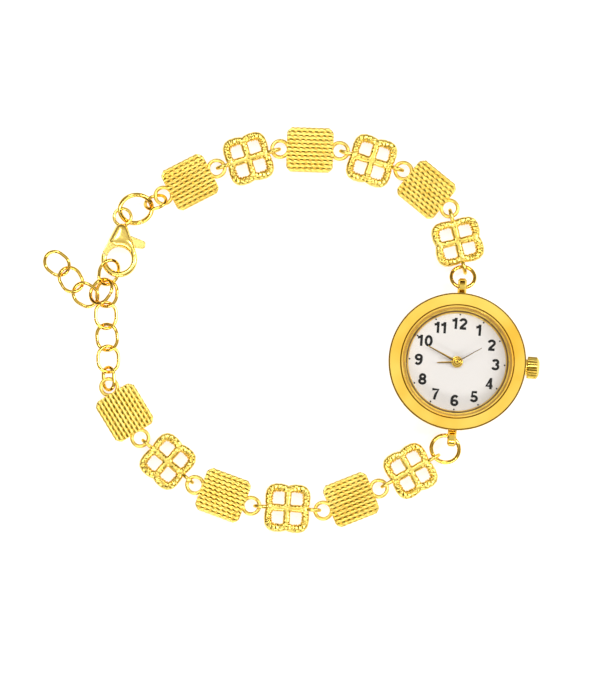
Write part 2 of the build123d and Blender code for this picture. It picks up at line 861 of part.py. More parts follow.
def make_battery_strap():
    direction = heading_of((0, 0), battery_place) + 90
    bottom = battery_bottom - strap_thickness
    foot_start = battery_radius + battery_gap
    half = foot_start + strap_foot
    strip = block((-half, -strap_width / 2, bottom), (half, strap_width / 2, battery_bottom))
    for side in (-1, 1):
        ends = sorted((side * foot_start, side * half))
        strip += block((ends[0], -strap_width / 2, bottom), (ends[1], strap_width / 2, bridge_bottom))
    return at(battery_place, Rot(0, 0, direction) * strip)


# Crown

crown_start = case_radius + crown_stand_off


def make_crown_tube():
    end = case_radius + tube_stand_out
    tube = along_x(post(tube_diameter / 2, case_bore, end) - post(stem_diameter / 2 + stem_gap, 0, end))
    return Pos(0, 0, stem_height) * tube


def make_stem():
    end = crown_start + crown_length - crown_wall
    start = stem_inner_share * plate_radius
    return Pos(0, 0, stem_height) * along_x(post(stem_diameter / 2, start, end))


def make_crown():
    radius = crown_diameter / 2
    body_start = crown_neck_length
    body_end = crown_length - crown_dome_height
    profile = Circle(radius)
    for index in range(crown_flutes):
        flute = polar(radius, 360 * index / crown_flutes)
        profile -= Pos(*flute) * Circle(crown_flute_diameter / 2)
    crown = Pos(0, 0, body_start) * extrude(profile, body_end - body_start)
    crown += post(crown_neck_diameter / 2, 0, body_start)
    crown += turned(
        (0, body_end), (radius - crown_flute_diameter, body_end), (crown_dome_diameter / 2, crown_length),
        (0, crown_length),
    )
    crown -= post(tube_diameter / 2 + tube_gap, -overrun, crown_recess_depth)
    crown -= post(stem_diameter / 2 + stem_gap, -overrun, crown_length - crown_wall + stem_gap)
    return Pos(crown_start, 0, stem_height) * along_x(crown)


# Bracelet links

def make_openwork_link():
    """A rounded frame with four windows and an upright eye at each end."""
    lobe_depth = (openwork_width + openwork_bar) / 2
    lobe_offset = (openwork_width - lobe_depth) / 2
    window_length = (openwork_length - openwork_bar) / 2 - openwork_frame
    window_width = (openwork_width - openwork_bar) / 2 - openwork_frame
    x_offset = (openwork_bar + window_length) / 2
    y_offset = (openwork_bar + window_width) / 2
    lobe = extrude(RectangleRounded(openwork_length, lobe_depth, openwork_corner), openwork_thickness)
    lobe = chamfer(lobe.edges().group_by(Axis.Z)[-1], openwork_edge_chamfer)
    hole = RectangleRounded(window_length, window_width, openwork_window_corner)
    flare = Pos(0, 0, openwork_thickness - openwork_edge_chamfer) * extrude(hole, openwork_edge_chamfer, taper=-45)
    opening = extrude(hole, openwork_thickness) + flare
    frame = Pos(0, lobe_offset, 0) * lobe + Pos(0, -lobe_offset, 0) * lobe
    for x_side in (-1, 1):
        for y_side in (-1, 1):
            frame -= Pos(x_side * x_offset, y_side * y_offset, 0) * opening
    link = Pos(0, 0, eye_height - openwork_thickness / 2) * frame
    for side in (-1, 1):
        eye = Rot(90, 0, 0) * Torus(eye_radius, eye_wire / 2)
        link += Pos(side * eye_reach, 0, eye_height) * eye
    return link


def make_textured_link():
    """A ribbed cushion plate with a flat ring at each end."""
    pitch = textured_width / textured_rows
    section = None
    for row in range(textured_rows):
        y = (row + 1 / 2) * pitch - textured_width / 2
        crown = textured_edge_thickness + textured_crown * (1 - (2 * y / textured_width) ** 2)
        wall = Pos(y, crown / 2) * Rectangle(pitch, crown)
        rib = Pos(y, crown) * Circle(pitch / 2)
        section = wall + rib if section is None else section + wall + rib
    bar = Plane.YZ * section
    bar = Pos(-textured_length / 2, 0, 0) * extrude(bar, textured_length)
    end = textured_length / 2
    side = textured_width / 2
    corner = (end - textured_cut_length, side - textured_cut_width)
    outline = make_face(Polyline(
        (end, -corner[1]), (end, corner[1]), (corner[0], side), (-corner[0], side),
        (-end, corner[1]), (-end, -corner[1]), (-corner[0], -side), (corner[0], -side), close=True,
    ))
    link = bar & extrude(outline, textured_width)
    for direction in (-1, 1):
        link += Pos(direction * flat_ring_reach, 0, eye_height) * Torus(flat_ring_radius, eye_wire / 2)
    return link


# Lobster clasp, built along X from the middle of its eye

def clasp_points(shares):
    return [(x_share * clasp_reach, y_share * clasp_reach) for x_share, y_share in shares]


def drop_outline():
    """The clasp's outline: a small shoulder circle and the hook circle with their tangents."""
    small = shoulder_diameter / 2
    large = hook_diameter / 2
    small_x = shoulder_share * clasp_reach
    lean = degrees(acos((small - large) / (clasp_reach - small_x)))
    start = polar(small, lean)
    end = polar(large, lean)
    sides = make_face(Polyline(
        (small_x + start[0], start[1]), (clasp_reach + end[0], end[1]),
        (clasp_reach + end[0], -end[1]), (small_x + start[0], -start[1]), close=True,
    ))
    return sides + Pos(small_x, 0) * Circle(small) + Pos(clasp_reach, 0) * Circle(large)


def centred(sketch, thickness):
    return extrude(sketch, thickness / 2, both=True)


lever_pivot = lever_pivot_share * clasp_reach
gate_reach = gate_reach_share * clasp_reach


def make_clasp_body():
    outline = drop_outline()
    hook = centred(outline, hook_thickness)
    hook = chamfer(hook.edges().filter_by(Axis.Z, reverse=True), hook_chamfer)
    belly = centred(outline, belly_thickness)
    rise = belly_round - belly_thickness / 2
    for side in (-1, 1):
        belly &= Pos(belly_share * clasp_reach, 0, side * rise) * Sphere(belly_round)
    body = hook + belly
    body -= Pos(clasp_reach, 0) * centred(Circle(hook_bore_diameter / 2), 2 * belly_thickness)
    body += Torus(clasp_eye_radius, clasp_eye_wire / 2)
    gate_cut = make_face(Polyline(*clasp_points(gate_cut_shares), close=True))
    gate_cut &= Pos(lever_pivot, 0) * Circle(gate_reach + gate_gap)
    body -= centred(gate_cut, 2 * belly_thickness)
    body -= block(
        (slot_start_share * clasp_reach, -hook_diameter, -slot_thickness / 2),
        (slot_end_share * clasp_reach, hook_diameter, slot_thickness / 2),
    )
    body -= Pos(lever_pivot, 0) * centred(Circle(lever_pin_diameter / 2), 2 * belly_thickness)
    pocket = along_x(post(spring_diameter / 2 + pivot_gap, spring_start_share * clasp_reach, lever_pivot))
    return body - Pos(0, spring_offset_share * clasp_reach, 0) * pocket


def make_clasp_lever():
    arm = drop_outline() - Pos(clasp_reach, 0) * Circle(hook_bore_diameter / 2)
    arm &= make_face(Polyline(*clasp_points(gate_arm_shares), close=True))
    arm &= Pos(lever_pivot, 0) * Circle(gate_reach)
    root, tip = clasp_points((tab_root_shares, tab_tip_shares))
    lean = atan2(tip[1] - root[1], tip[0] - root[0])
    across = (-sin(lean), cos(lean))
    root_half = tab_root_diameter / 2
    tip_half = tab_tip_diameter / 2
    neck = make_face(Polyline(
        (root[0] + across[0] * root_half, root[1] + across[1] * root_half),
        (tip[0] + across[0] * tip_half, tip[1] + across[1] * tip_half),
        (tip[0] - across[0] * tip_half, tip[1] - across[1] * tip_half),
        (root[0] - across[0] * root_half, root[1] - across[1] * root_half), close=True,
    ))
    hub = Pos(lever_pivot, 0) * Circle(lever_hub_diameter / 2)
    outline = arm + hub + neck + Pos(*root) * Circle(root_half) + Pos(*tip) * Circle(tip_half)
    outline -= Pos(lever_pivot, 0) * Circle(lever_pin_diameter / 2 + lever_gap)
    return centred(outline, lever_thickness)


def make_clasp_pin():
    middle = lever_pivot - belly_share * clasp_reach
    half = sqrt(belly_round ** 2 - middle ** 2) - belly_round + belly_thickness / 2
    return Pos(lever_pivot, 0, 0) * post(lever_pin_diameter / 2, -half, half)


def make_clasp_spring():
    outer = spring_diameter / 2
    end = lever_pivot - lever_hub_diameter / 2 - spring_hub_gap
    tube = washer(outer - spring_wall, outer, spring_start_share * clasp_reach, end)
    return Pos(0, spring_offset_share * clasp_reach, 0) * along_x(tube)


def laid(name, shape, like=None):
    """Lays a bracelet piece in its place."""
    middle, heading, roll, dip = places[like or name]
    return lie(shape, middle, heights[like or name], heading, roll, dip)


parts = {
    "case_middle": make_case_middle(),
    "caseback": make_caseback(),
    "caseback_gasket": make_caseback_gasket(),
    "bezel": make_bezel(),
    "crystal": make_crystal(),
    "crystal_gasket": make_crystal_gasket(),
    "dial_ring": make_dial_ring(),
    "dial": make_dial(),
    "hour_hand": make_hand(
        hour_hand_length, hour_hand_width, hour_hub_diameter, hour_pipe_radius, hour_hand_height, hour_hand_turn
    ),
    "minute_hand": make_hand(
        minute_hand_length, minute_hand_width, minute_hub_diameter, centre_pipe_radius, minute_hand_height,
        minute_hand_turn,
    ),
    "second_hand": make_second_hand(),
    "movement_holder": make_movement_holder(),
    "main_plate": make_main_plate(),
    "train_bridge": make_train_bridge(),
    "circuit_board": make_circuit_board(),
    "quartz_can": make_quartz_can(),
    "coil": make_coil(),
    "stator": make_stator(),
    "rotor": make_rotor(),
    "intermediate_wheel": make_intermediate_wheel(),
    "second_wheel": make_second_wheel(),
    "third_wheel": make_third_wheel(),
    "centre_wheel": make_centre_wheel(),
    "minute_wheel": make_minute_wheel(),
    "hour_wheel": make_hour_wheel(),
    "battery": make_battery(),
    "battery_strap": make_battery_strap(),
    "crown_tube": make_crown_tube(),
    "stem": make_stem(),
    "crown": make_crown(),
    "head_ring_top": laid("head_ring_top", wire_ring(upper_ring_radius, 0, upper_ring_wire / 2)),
    "head_ring_bottom": laid("head_ring_bottom", wire_ring(lower_ring_radius, 0, lower_ring_wire / 2)),
    "small_jump_ring": laid(
        "small_jump_ring", wire_ring(small_ring_radius, small_ring_straight, small_ring_wire / 2)
    ),
    "large_jump_ring": laid("large_jump_ring", wire_ring(large_ring_radius, 0, large_ring_wire / 2)),
    "clasp_body": laid("clasp_body", make_clasp_body()),
    "clasp_lever": laid("clasp_lever", make_clasp_lever(), "clasp_body"),
    "clasp_pin": laid("clasp_pin", make_clasp_pin(), "clasp_body"),
    "clasp_spring": laid("clasp_spring", make_clasp_spring(), "clasp_body"),
    "end_oval_ring": laid("end_oval_ring", wire_ring(oval_radius, oval_straight, chain_wire / 2)),
}

openwork_link = make_openwork_link()
textured_link = make_textured_link()
chain_link = wire_ring(chain_radius, chain_straight, chain_wire / 2)
for name in places:
    if name.startswith("openwork"):
        parts[name] = laid(name, openwork_link)
    if name.startswith("textured"):
        parts[name] = laid(name, textured_link)
    if name.startswith("chain"):
        parts[name] = laid(name, chain_link)

for name, shape in parts.items():
    export_step(shape, f"parts/{name}.step")

# The joints turn about these points
lever_point = step(places["clasp_body"][0], lever_pivot * cos(radians(clasp_tilt)), places["clasp_body"][1])
closing_reach = distance(places["clasp_body"][0], closing_point)
closing_height = heights["clasp_body"] + sin(radians(clasp_tilt)) * closing_reach
for name, point in pivots.items():
    print("pivot", name, *[round(value, 4) for value in point])
print("pivot", "closing", *[round(value, 4) for value in closing_point], round(closing_height, 4))
print("pivot", "clasp_lever", *[round(value, 4) for value in lever_point], round(heights["clasp_body"], 4))
print("places", third_place, intermediate_place, rotor_place, minute_wheel_place)
print("turns", round(upper_turn, 3), round(lower_turn, 3))
print("clasp heading", places["clasp_body"][1])
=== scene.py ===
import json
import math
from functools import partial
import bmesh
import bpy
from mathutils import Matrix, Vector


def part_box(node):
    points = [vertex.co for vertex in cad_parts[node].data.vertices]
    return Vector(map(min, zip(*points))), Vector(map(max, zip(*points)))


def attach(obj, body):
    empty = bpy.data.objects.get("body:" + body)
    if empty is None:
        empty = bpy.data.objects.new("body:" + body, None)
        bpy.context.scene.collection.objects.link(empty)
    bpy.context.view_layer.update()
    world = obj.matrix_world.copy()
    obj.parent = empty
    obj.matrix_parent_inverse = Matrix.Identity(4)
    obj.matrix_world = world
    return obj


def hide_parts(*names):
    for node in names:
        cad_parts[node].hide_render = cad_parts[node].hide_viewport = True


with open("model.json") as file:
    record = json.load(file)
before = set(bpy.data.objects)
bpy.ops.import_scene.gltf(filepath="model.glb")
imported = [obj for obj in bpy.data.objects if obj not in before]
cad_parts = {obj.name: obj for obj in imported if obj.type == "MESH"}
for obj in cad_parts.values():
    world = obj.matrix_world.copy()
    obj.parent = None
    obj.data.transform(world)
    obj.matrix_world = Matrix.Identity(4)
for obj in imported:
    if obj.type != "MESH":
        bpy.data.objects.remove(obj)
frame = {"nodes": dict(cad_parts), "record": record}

# %% [markdown]
# # A lady's bracelet watch, laid out on a table
# The watch is a thin round head with a white dial, and a bracelet of cast links.
# Plates with rope rows alternate with open frames, each joined to the next by its
# eyes. A lobster clasp holds one link of a short chain. The CAD frame gives every
# piece its place and its motion. This lesson gives the pieces the shapes and
# finishes that casting, wire bending, polishing and gold plating leave.

MM = 0.001
nodes = frame["nodes"]
bodies = frame["record"]["behaviour"]["bodies"]
body_of_node = {node: body for body, names in bodies.items() for node in names}
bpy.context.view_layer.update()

# %% [markdown]
# ## Helpers for modelling
# An operator works on whatever is selected, so each step first clears the
# selection and then says what it means. A finished piece has its place in its
# mesh, and its object stays at the origin, as the CAD nodes do.

# %% Selecting, naming and finishing
def deselect_all():
    for other in bpy.context.selected_objects:
        other.select_set(False)


def newest(name):
    piece = bpy.context.active_object
    piece.name = name
    piece.data.name = name
    return piece


def make_active(piece):
    deselect_all()
    piece.select_set(True)
    bpy.context.view_layer.objects.active = piece


def add_shape(operator, name, **settings):
    """Adds a basic shape by its operator, and moves its place into its mesh."""
    deselect_all()
    operator(**settings)
    piece = newest(name)
    make_active(piece)
    bpy.ops.object.transform_apply(location=True, rotation=True, scale=True)
    return piece


def apply_modifiers(piece):
    make_active(piece)
    for modifier in list(piece.modifiers):
        bpy.ops.object.modifier_apply(modifier=modifier.name)


def smooth(piece, degrees):
    """Smooth shading, but an edge stays sharp where its faces meet at more than the angle."""
    make_active(piece)
    bpy.ops.object.shade_smooth_by_angle(angle=math.radians(degrees))


def dress(piece, *finishes):
    """Gives a piece its finishes in place of any that it had."""
    piece.data.materials.clear()
    for finish in finishes:
        piece.data.materials.append(finish)


def triangles(piece):
    return sum(len(face.vertices) - 2 for face in piece.data.polygons)


# %% [markdown]
# Faces, edges and vertices are changed in edit mode. By hand they are clicked on.
# In code, a small test on their place or direction picks them.

# %% Edit mode
def open_edit(piece, kind):
    make_active(piece)
    bpy.ops.object.mode_set(mode="EDIT")
    bpy.ops.mesh.select_mode(type=kind)
    bpy.ops.mesh.select_all(action="DESELECT")


def close_edit():
    bpy.ops.object.mode_set(mode="OBJECT")


def pick(piece, kind, test):
    """Opens edit mode and selects the vertices, edges or faces that pass the test."""
    open_edit(piece, kind)
    shape = bmesh.from_edit_mesh(piece.data)
    items = {"VERT": shape.verts, "EDGE": shape.edges, "FACE": shape.faces}[kind]
    for item in items:
        item.select_set(test(item))
    shape.select_flush_mode()
    bmesh.update_edit_mesh(piece.data)


# %% [markdown]
# What repeats on the bracelet is modelled once and copied. A copy here has its own
# mesh, because each link moves by itself.

# %% Joining and copying
def join(pieces, name):
    make_active(pieces[0])
    for piece in pieces:
        piece.select_set(True)
    bpy.ops.object.join()
    return newest(name)


def copy_of(piece, name, place):
    """A copy with its own mesh, laid where the matrix says."""
    copy = piece.copy()
    copy.data = piece.data.copy()
    copy.name = name
    copy.data.name = name
    copy.data.transform(place)
    bpy.context.scene.collection.objects.link(copy)
    return copy


# %% [markdown]
# ## Where the pieces lie
# A link or ring is the same at both ends, so the middle of its CAD box is its own
# middle. Three angles in degrees say the rest: its heading on the table, its roll
# about its own length, and the dip of its front.

# %% Headings, rolls and dips
LIE = {
    "openwork_link_1": (107.63, 0, 0), "textured_link_1": (144.63, 0, 0),
    "openwork_link_2": (166.63, 0, 0), "textured_link_2": (182.13, 0, 0),
    "openwork_link_3": (201.13, 0, 0), "textured_link_3": (211.13, 0, 0),
    "openwork_link_4": (213.16, 0, 0), "textured_link_4": (205.66, 0, 0),
    "openwork_link_5": (180.16, 0, 0), "textured_link_5": (163.66, 0, 0),
    "openwork_link_6": (143.46, 0, 0), "textured_link_6": (125.46, 0, 0),
    "head_ring_top": (88.63, 0, 25.77), "head_ring_bottom": (244.16, 0, 22.16),
    "small_jump_ring": (197.63, 45, 7), "large_jump_ring": (214.63, -32, 12),
    "end_oval_ring": (97.16, -45, 0), "chain_link_9": (94.16, 22.4, 0),
    "chain_link_8": (100.16, -22.4, 0), "chain_link_7": (94.16, 22.4, 0),
    "chain_link_6": (89.16, -22.4, 0), "chain_link_5": (87.16, 33, -24),
    "chain_link_4": (238.16, 32, 5), "chain_link_3": (153.16, -19.2, 5),
    "chain_link_2": (123.16, 19, 6), "chain_link_1": (146.16, -21, 0),
}


def place_of(node):
    """The matrix that lays a piece modelled about the origin, along X, where its node is."""
    low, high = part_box(node)
    heading, roll, dip = (math.radians(angle) for angle in LIE[node])
    turn = Matrix.Rotation(heading, 4, "Z") @ Matrix.Rotation(dip, 4, "Y")
    turn = turn @ Matrix.Rotation(roll, 4, "X")
    return Matrix.Translation((low + high) / 2) @ turn


print("pieces laid by their angles:", len(LIE))

# %% [markdown]
# ## The camera
# The view is from almost straight above, through a long lens far away, which keeps
# near and far links the same size. The camera leans three degrees, so that the
# lower walls of the links show, and is turned so that the watch lies clockwise.

# %% Camera
PICTURE_WIDTH, PICTURE_HEIGHT = 600, 693
VIEW_MIDDLE = Vector((-22.95, 0.75, 2.0)) * MM
VIEW_WIDTH = 87.4 * MM
CAMERA_DISTANCE = 1000 * MM
LEAN, TWIST = math.radians(3), math.radians(4)
NEAR_CLIP, FAR_CLIP = 10 * MM, 10000 * MM
camera_data = bpy.data.cameras.new("camera")
camera = bpy.data.objects.new("camera", camera_data)
bpy.context.scene.collection.objects.link(camera)
bpy.context.scene.camera = camera
view_turn = Matrix.Rotation(TWIST, 4, "Z") @ Matrix.Rotation(LEAN, 4, "X")
step_back = Matrix.Translation((0, 0, CAMERA_DISTANCE))
camera.matrix_world = Matrix.Translation(VIEW_MIDDLE) @ view_turn @ step_back
view_height = VIEW_WIDTH * PICTURE_HEIGHT / PICTURE_WIDTH
camera_data.lens = camera_data.sensor_width * CAMERA_DISTANCE / view_height
camera_data.clip_start, camera_data.clip_end = NEAR_CLIP, FAR_CLIP
print("lens:", round(camera_data.lens), "mm")

# %% [markdown]
# ## Colours and nodes
# One function turns the hex codes that a paint program shows into the linear
# numbers that Blender reckons light in. Another adds one shader node, whose kind is
# its type's name without the word ShaderNode. Each new material brings it along.

# %% Colour and node helpers
def shade(code):
    """A colour from its sRGB hex code, as Blender's linear numbers."""
    parts = [int(code[start:start + 2], 16) / 255 for start in (1, 3, 5)]
    linear = [part / 12.92 if part <= 0.04045 else ((part + 0.055) / 1.055) ** 2.4 for part in parts]
    return linear + [1.0]


def add_node(tree, kind, sockets=None, **settings):
    """Adds a node. A socket gets a value, another node's output, or the first output of a node."""
    node = tree.nodes.new("ShaderNode" + kind)
    for name, value in settings.items():
        setattr(node, name, value)
    for socket, value in (sockets or {}).items():
        if isinstance(value, bpy.types.Node):
            value = value.outputs[0]
        if isinstance(value, bpy.types.NodeSocket):
            tree.links.new(value, node.inputs[socket])
        else:
            node.inputs[socket].default_value = value
    return node


def set_ramp(node, stops):
    """Gives a colour ramp its stops, each a place and a colour code."""
    ramp = node.color_ramp
    while len(ramp.elements) < len(stops):
        ramp.elements.new(0.5)
    for element, (place, code) in zip(ramp.elements, stops):
        element.position = place
        element.color = shade(code)


def new_material(name):
    """An empty material, and the function that adds a node to it."""
    material = bpy.data.materials.new(name)
    material.use_nodes = True
    material.node_tree.nodes.clear()
    return material, partial(add_node, material.node_tree)


# %% [markdown]
# ## Floor and light
# Gold shows what is around it. A bright tent overhead gives the flat tops their
# even yellow, and a darker band near the horizon draws the brown lines that round
# wire shows beside its highlight.

# %% Light tent
TENT_STRENGTH = 0.82
TENT_BANDS = [
    (0.0, "#33230f"), (0.3, "#4a3620"), (0.55, "#8f8069"), (0.8, "#d0c8bd"), (0.95, "#ffffff")]
world = bpy.data.worlds.new("light_tent")
bpy.context.scene.world = world
world.use_nodes = True
world.node_tree.nodes.clear()
add = partial(add_node, world.node_tree)
sky = add("TexCoord")
heights = add("SeparateXYZ", {0: sky.outputs["Generated"]})
band = add("ValToRGB", {0: heights.outputs["Z"]})
set_ramp(band, TENT_BANDS)
glow = add("Background", {"Color": band, "Strength": TENT_STRENGTH})
add("OutputWorld", {"Surface": glow})
print("bands in the tent:", len(TENT_BANDS))

# %% [markdown]
# Three soft boxes add the brighter glints. The nearly square one makes a broad
# glint, and the two long ones make the streaks that run along round wire.

# %% Soft boxes
# Each has its place and its sides in metres, and its power in watts
SOFT_BOXES = {
    "key_box": ((-0.24, 0.28, 0.7), (0.22, 0.16), 1.6),
    "fill_box": ((0.48, 0.1, 0.5), (0.1, 0.45), 3),
    "front_box": ((-0.1, -0.62, 0.42), (0.5, 0.1), 2.5),
}
for name, (place, sides, power) in SOFT_BOXES.items():
    lamp = bpy.data.lights.new(name, "AREA")
    lamp.shape = "RECTANGLE"
    lamp.size, lamp.size_y = sides
    lamp.energy = power
    holder = bpy.data.objects.new(name, lamp)
    bpy.context.scene.collection.objects.link(holder)
    holder.location = place
    holder.rotation_mode = "QUATERNION"
    holder.rotation_quaternion = (VIEW_MIDDLE - Vector(place)).to_track_quat("-Z", "Y")
bpy.context.scene.view_settings.view_transform = "Standard"
print("soft boxes:", len(SOFT_BOXES))

# %% [markdown]
# The floor is a sheet of white acrylic with light behind it, which keeps the
# shadows faint.

# %% Floor
FLOOR_SIDE, FLOOR_GAP = 3000 * MM, 0.03 * MM
FLOOR_GLOW = 0.8
floor = add_shape(bpy.ops.mesh.primitive_plane_add, "floor", size=FLOOR_SIDE, location=(0, 0, -FLOOR_GAP))
table, add = new_material("backlit_white_acrylic")
table_surface = add("BsdfPrincipled", {
    "Base Color": shade("#a3a1a0"), "Roughness": 0.6,
    "Emission Color": shade("#fffdfc"), "Emission Strength": FLOOR_GLOW})
add("OutputMaterial", {"Surface": table_surface})
dress(floor, table)
print("floor side in m:", FLOOR_SIDE)

# %% [markdown]
# ## Finishes
# Nearly everything is brass or zinc alloy under a thin coat of bright gold. What
# differs is the surface below the coat: drawn wire is smooth, cast links are
# slightly pebbled, and the bezel is brushed round. A plain metal shader would look
# too even, so the colour and the gloss drift a little over a few millimetres, and a
# fine bump stands for the grain.

# %% Gold plate
DRIFT_SIZE, DRIFT_STOPS, GLOSS_DRIFT = 2.5, (0.3, 0.7), (0.75, 1.3)
# The marks' colour: painted shade in the rope grooves and hammer pits, and dirt with painted shade in the
# crown's valleys
PAINTED_SHADE_AND_DIRT, MARK_DEPTH = "#7a6118", 0.02


def gold_plate(name, light, deep, roughness, grain_mm, grain_height_mm, marks=None):
    """Gold plate over a pebbled ground, darker and sunk where the mask of its marks is one."""
    material, add = new_material(name)
    where = add("TexCoord").outputs["Object"]
    drift = add("TexNoise", {"Vector": where, "Scale": 1 / (DRIFT_SIZE * MM), "Detail": 3.0})
    colour = add("ValToRGB", {0: drift})
    set_ramp(colour, list(zip(DRIFT_STOPS, (deep, light))))
    gloss = add("MapRange", {
        "Value": drift, "To Min": roughness * GLOSS_DRIFT[0], "To Max": roughness * GLOSS_DRIFT[1]})
    grain = add("TexNoise", {"Vector": where, "Scale": 1 / (grain_mm * MM), "Detail": 2.0})
    bump = add("Bump", {"Height": grain, "Strength": 1.0, "Distance": grain_height_mm * MM})
    tone, relief = colour, bump
    if marks:
        mask = marks(add)
        tone = add("Mix", {0: mask, 6: tone, 7: shade(PAINTED_SHADE_AND_DIRT)}, data_type="RGBA").outputs[2]
        relief = add("Bump", {
            "Height": mask, "Normal": relief, "Strength": 1.0, "Distance": MARK_DEPTH * MM}, invert=True)
    surface = add("BsdfPrincipled", {
        "Metallic": 1.0, "Base Color": tone, "Roughness": gloss, "Normal": relief})
    add("OutputMaterial", {"Surface": surface})
    return material


# %% [markdown]
# A short dark dash of painted shade lies in the groove between the ropes wherever
# a strand comes over. Such shade is too fine to model. A mask, which is one on a
# dash and zero beside it, darkens the gold instead. It reads the plate's own map,
# in millimetres, so it follows the rows on every copy.

# %% Dashes in the rope grooves
PLATE_LENGTH, PLATE_WIDTH, PLATE_ROWS = 6.8, 6.5, 11
ROW_PITCH = PLATE_WIDTH / PLATE_ROWS
PLATE_MAP, MAP_MARGIN = "plate_mm", 0.15
# The pitch is in mm, and the rest are shares of a dash's or a row's pitch
DASH_PITCH, DASH_STAGGER_SHARE, DASH_SLANT_SHARE = 0.85, 0.37, 0.6
DASH_WIDTH_SHARES, DASH_LENGTH_SHARES = (0.05, 0.17), (0.2, 0.34)
FADING = {"To Min": 1.0, "To Max": 0.0}


def groove_dashes(add):
    """One on each dash. A dash fades out between its two shares, across and along."""
    chart = add("UVMap", uv_map=PLATE_MAP).outputs["UV"]
    split = add("SeparateXYZ", {0: chart})
    along, across = split.outputs[0], split.outputs[1]
    rows = add("Math", {0: across, 1: 1 / ROW_PITCH, 2: 0.5}, operation="MULTIPLY_ADD")
    groove = add("Math", {0: rows}, operation="ROUND")
    aside = add("Math", {0: rows, 1: groove}, operation="SUBTRACT")
    walk = add("Math", {0: along, 1: 1 / DASH_PITCH}, operation="MULTIPLY")
    for push, share in ((groove, DASH_STAGGER_SHARE), (aside, DASH_SLANT_SHARE)):
        walk = add("Math", {0: push, 1: share, 2: walk}, operation="MULTIPLY_ADD")
    step = add("Math", {0: walk}, operation="FRACT")
    from_middle = add("Math", {0: step, 1: 0.5}, operation="SUBTRACT")
    parts = []
    for value, (full, gone) in ((aside, DASH_WIDTH_SHARES), (from_middle, DASH_LENGTH_SHARES)):
        size = add("Math", {0: value}, operation="ABSOLUTE")
        parts.append(add("MapRange", {**FADING, "Value": size, "From Min": full, "From Max": gone}))
    for value, side in ((along, PLATE_LENGTH), (across, PLATE_WIDTH)):
        size = add("Math", {0: value}, operation="ABSOLUTE")
        parts.append(add("Math", {0: size, 1: side / 2 - MAP_MARGIN}, operation="LESS_THAN"))
    mask = parts[0]
    for part in parts[1:]:
        mask = add("Math", {0: mask, 1: part}, operation="MULTIPLY")
    return mask


# %% [markdown]
# The open frames have a hammered skin, a scatter of small pits from the textured
# mould. A Voronoi pattern gives it, as it measures how far each point is from the
# nearest of many scattered centres.

# %% Hammer pits
# The spacing is in mm, and the reaches are shares of it
PIT_SPACING, PIT_REACH_SHARES = 0.52, (0.14, 0.3)


# Each pit is darkened with painted shade as well as sunk
def hammer_pits(add):
    """One in the middle of each pit, fading out between the two reaches."""
    where = add("TexCoord").outputs["Object"]
    cells = add("TexVoronoi", {"Vector": where, "Scale": 1 / (PIT_SPACING * MM)})
    return add("MapRange", {
        **FADING, "Value": cells.outputs["Distance"],
        "From Min": PIT_REACH_SHARES[0], "From Max": PIT_REACH_SHARES[1]})


# %% [markdown]
# The crown's ribs are cut round it like the teeth of a gear. The bottoms between
# them are darkened, partly for the dirt that stays there and partly as painted
# shade. The angle round its axis, taken as many times as there are ribs, has a
# cosine of one on each rib and of minus one in each valley.

# %% Rib valleys
CROWN_RIBS, RIB_DEPTH, RIB_BAND_SHARE = 22, 0.15, 1.3
VALLEY_WAVES = (-0.7, 0.1)


def rib_valleys(add):
    """One in the valleys, and zero on the crown's flat ends. Its axis lies along X."""
    low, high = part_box("crown")
    where = add("TexCoord").outputs["Object"]
    from_axis = add("VectorMath", {0: where, 1: (0, 0, (low.z + high.z) / 2)}, operation="SUBTRACT")
    flat = add("VectorMath", {0: from_axis, 1: (0, 1, 1)}, operation="MULTIPLY")
    reach = add("VectorMath", {0: flat}, operation="LENGTH").outputs["Value"]
    split = add("SeparateXYZ", {0: flat})
    turn = add("Math", {0: split.outputs[2], 1: split.outputs[1]}, operation="ARCTAN2")
    turns = add("Math", {0: turn, 1: CROWN_RIBS}, operation="MULTIPLY")
    wave = add("Math", {0: turns}, operation="COSINE")
    valley = add("MapRange", {
        **FADING, "Value": wave, "From Min": VALLEY_WAVES[0], "From Max": VALLEY_WAVES[1]})
    on_ribs = add("Math", {
        0: reach, 1: (high.z - low.z) / 2 - RIB_BAND_SHARE * RIB_DEPTH * MM}, operation="GREATER_THAN")
    return add("Math", {0: valley, 1: on_ribs}, operation="MULTIPLY")


# %% [markdown]
# Each gold finish is now one line: its name, its light and deep colour, its
# roughness, and the spacing and height of its grain in millimetres.

# %% Gold finishes
# Bright wire: drawn, tumbled and plated, so almost a mirror
bright_wire = gold_plate("polished_gold_wire", "#fbd968", "#f2c552", 0.11, 0.6, 0.004)
# Cast links: the sand of the mould leaves soft pebbles under the gold
rope_gold = gold_plate("rope_cast_gold_plate", "#fee47c", "#f8d564", 0.34, 0.2, 0.003, groove_dashes)
hammered_gold = gold_plate("hammered_gold_plate", "#fee47c", "#f8d564", 0.3, 0.25, 0.004, hammer_pits)
# Clasp: buffed after casting, so it has a soft gloss and hardly any grain
buffed_gold = gold_plate("buffed_gold_plate", "#ffe47e", "#f9d669", 0.22, 0.9, 0.003)
# The lever's copy is a touch paler, painted light so that the lever reads lighter than the body
lit_buffed_gold = gold_plate("lit_buffed_gold_plate", "#fee68c", "#f7d974", 0.24, 0.9, 0.003)
# Case wall and crown: turned on a lathe and plated, so glossy
turned_gold = gold_plate("turned_gold_plate", "#f6d66a", "#ebc452", 0.16, 0.35, 0.003)
ribbed_gold = gold_plate("ribbed_gold_plate", "#f9dc70", "#eeca58", 0.28, 0.35, 0.003, rib_valleys)
# Hands: thin stamped strips; the dark one is painted shade, for where they turn from the light
shaded_gilt = gold_plate("painted_shade_gilt_strip", "#7d5a1c", "#5f4012", 0.25, 0.3, 0.002)
bright_gilt = gold_plate("bright_gilt_strip", "#f3cd58", "#e0b440", 0.3, 0.3, 0.002)
print("finishes so far:", len(bpy.data.materials))
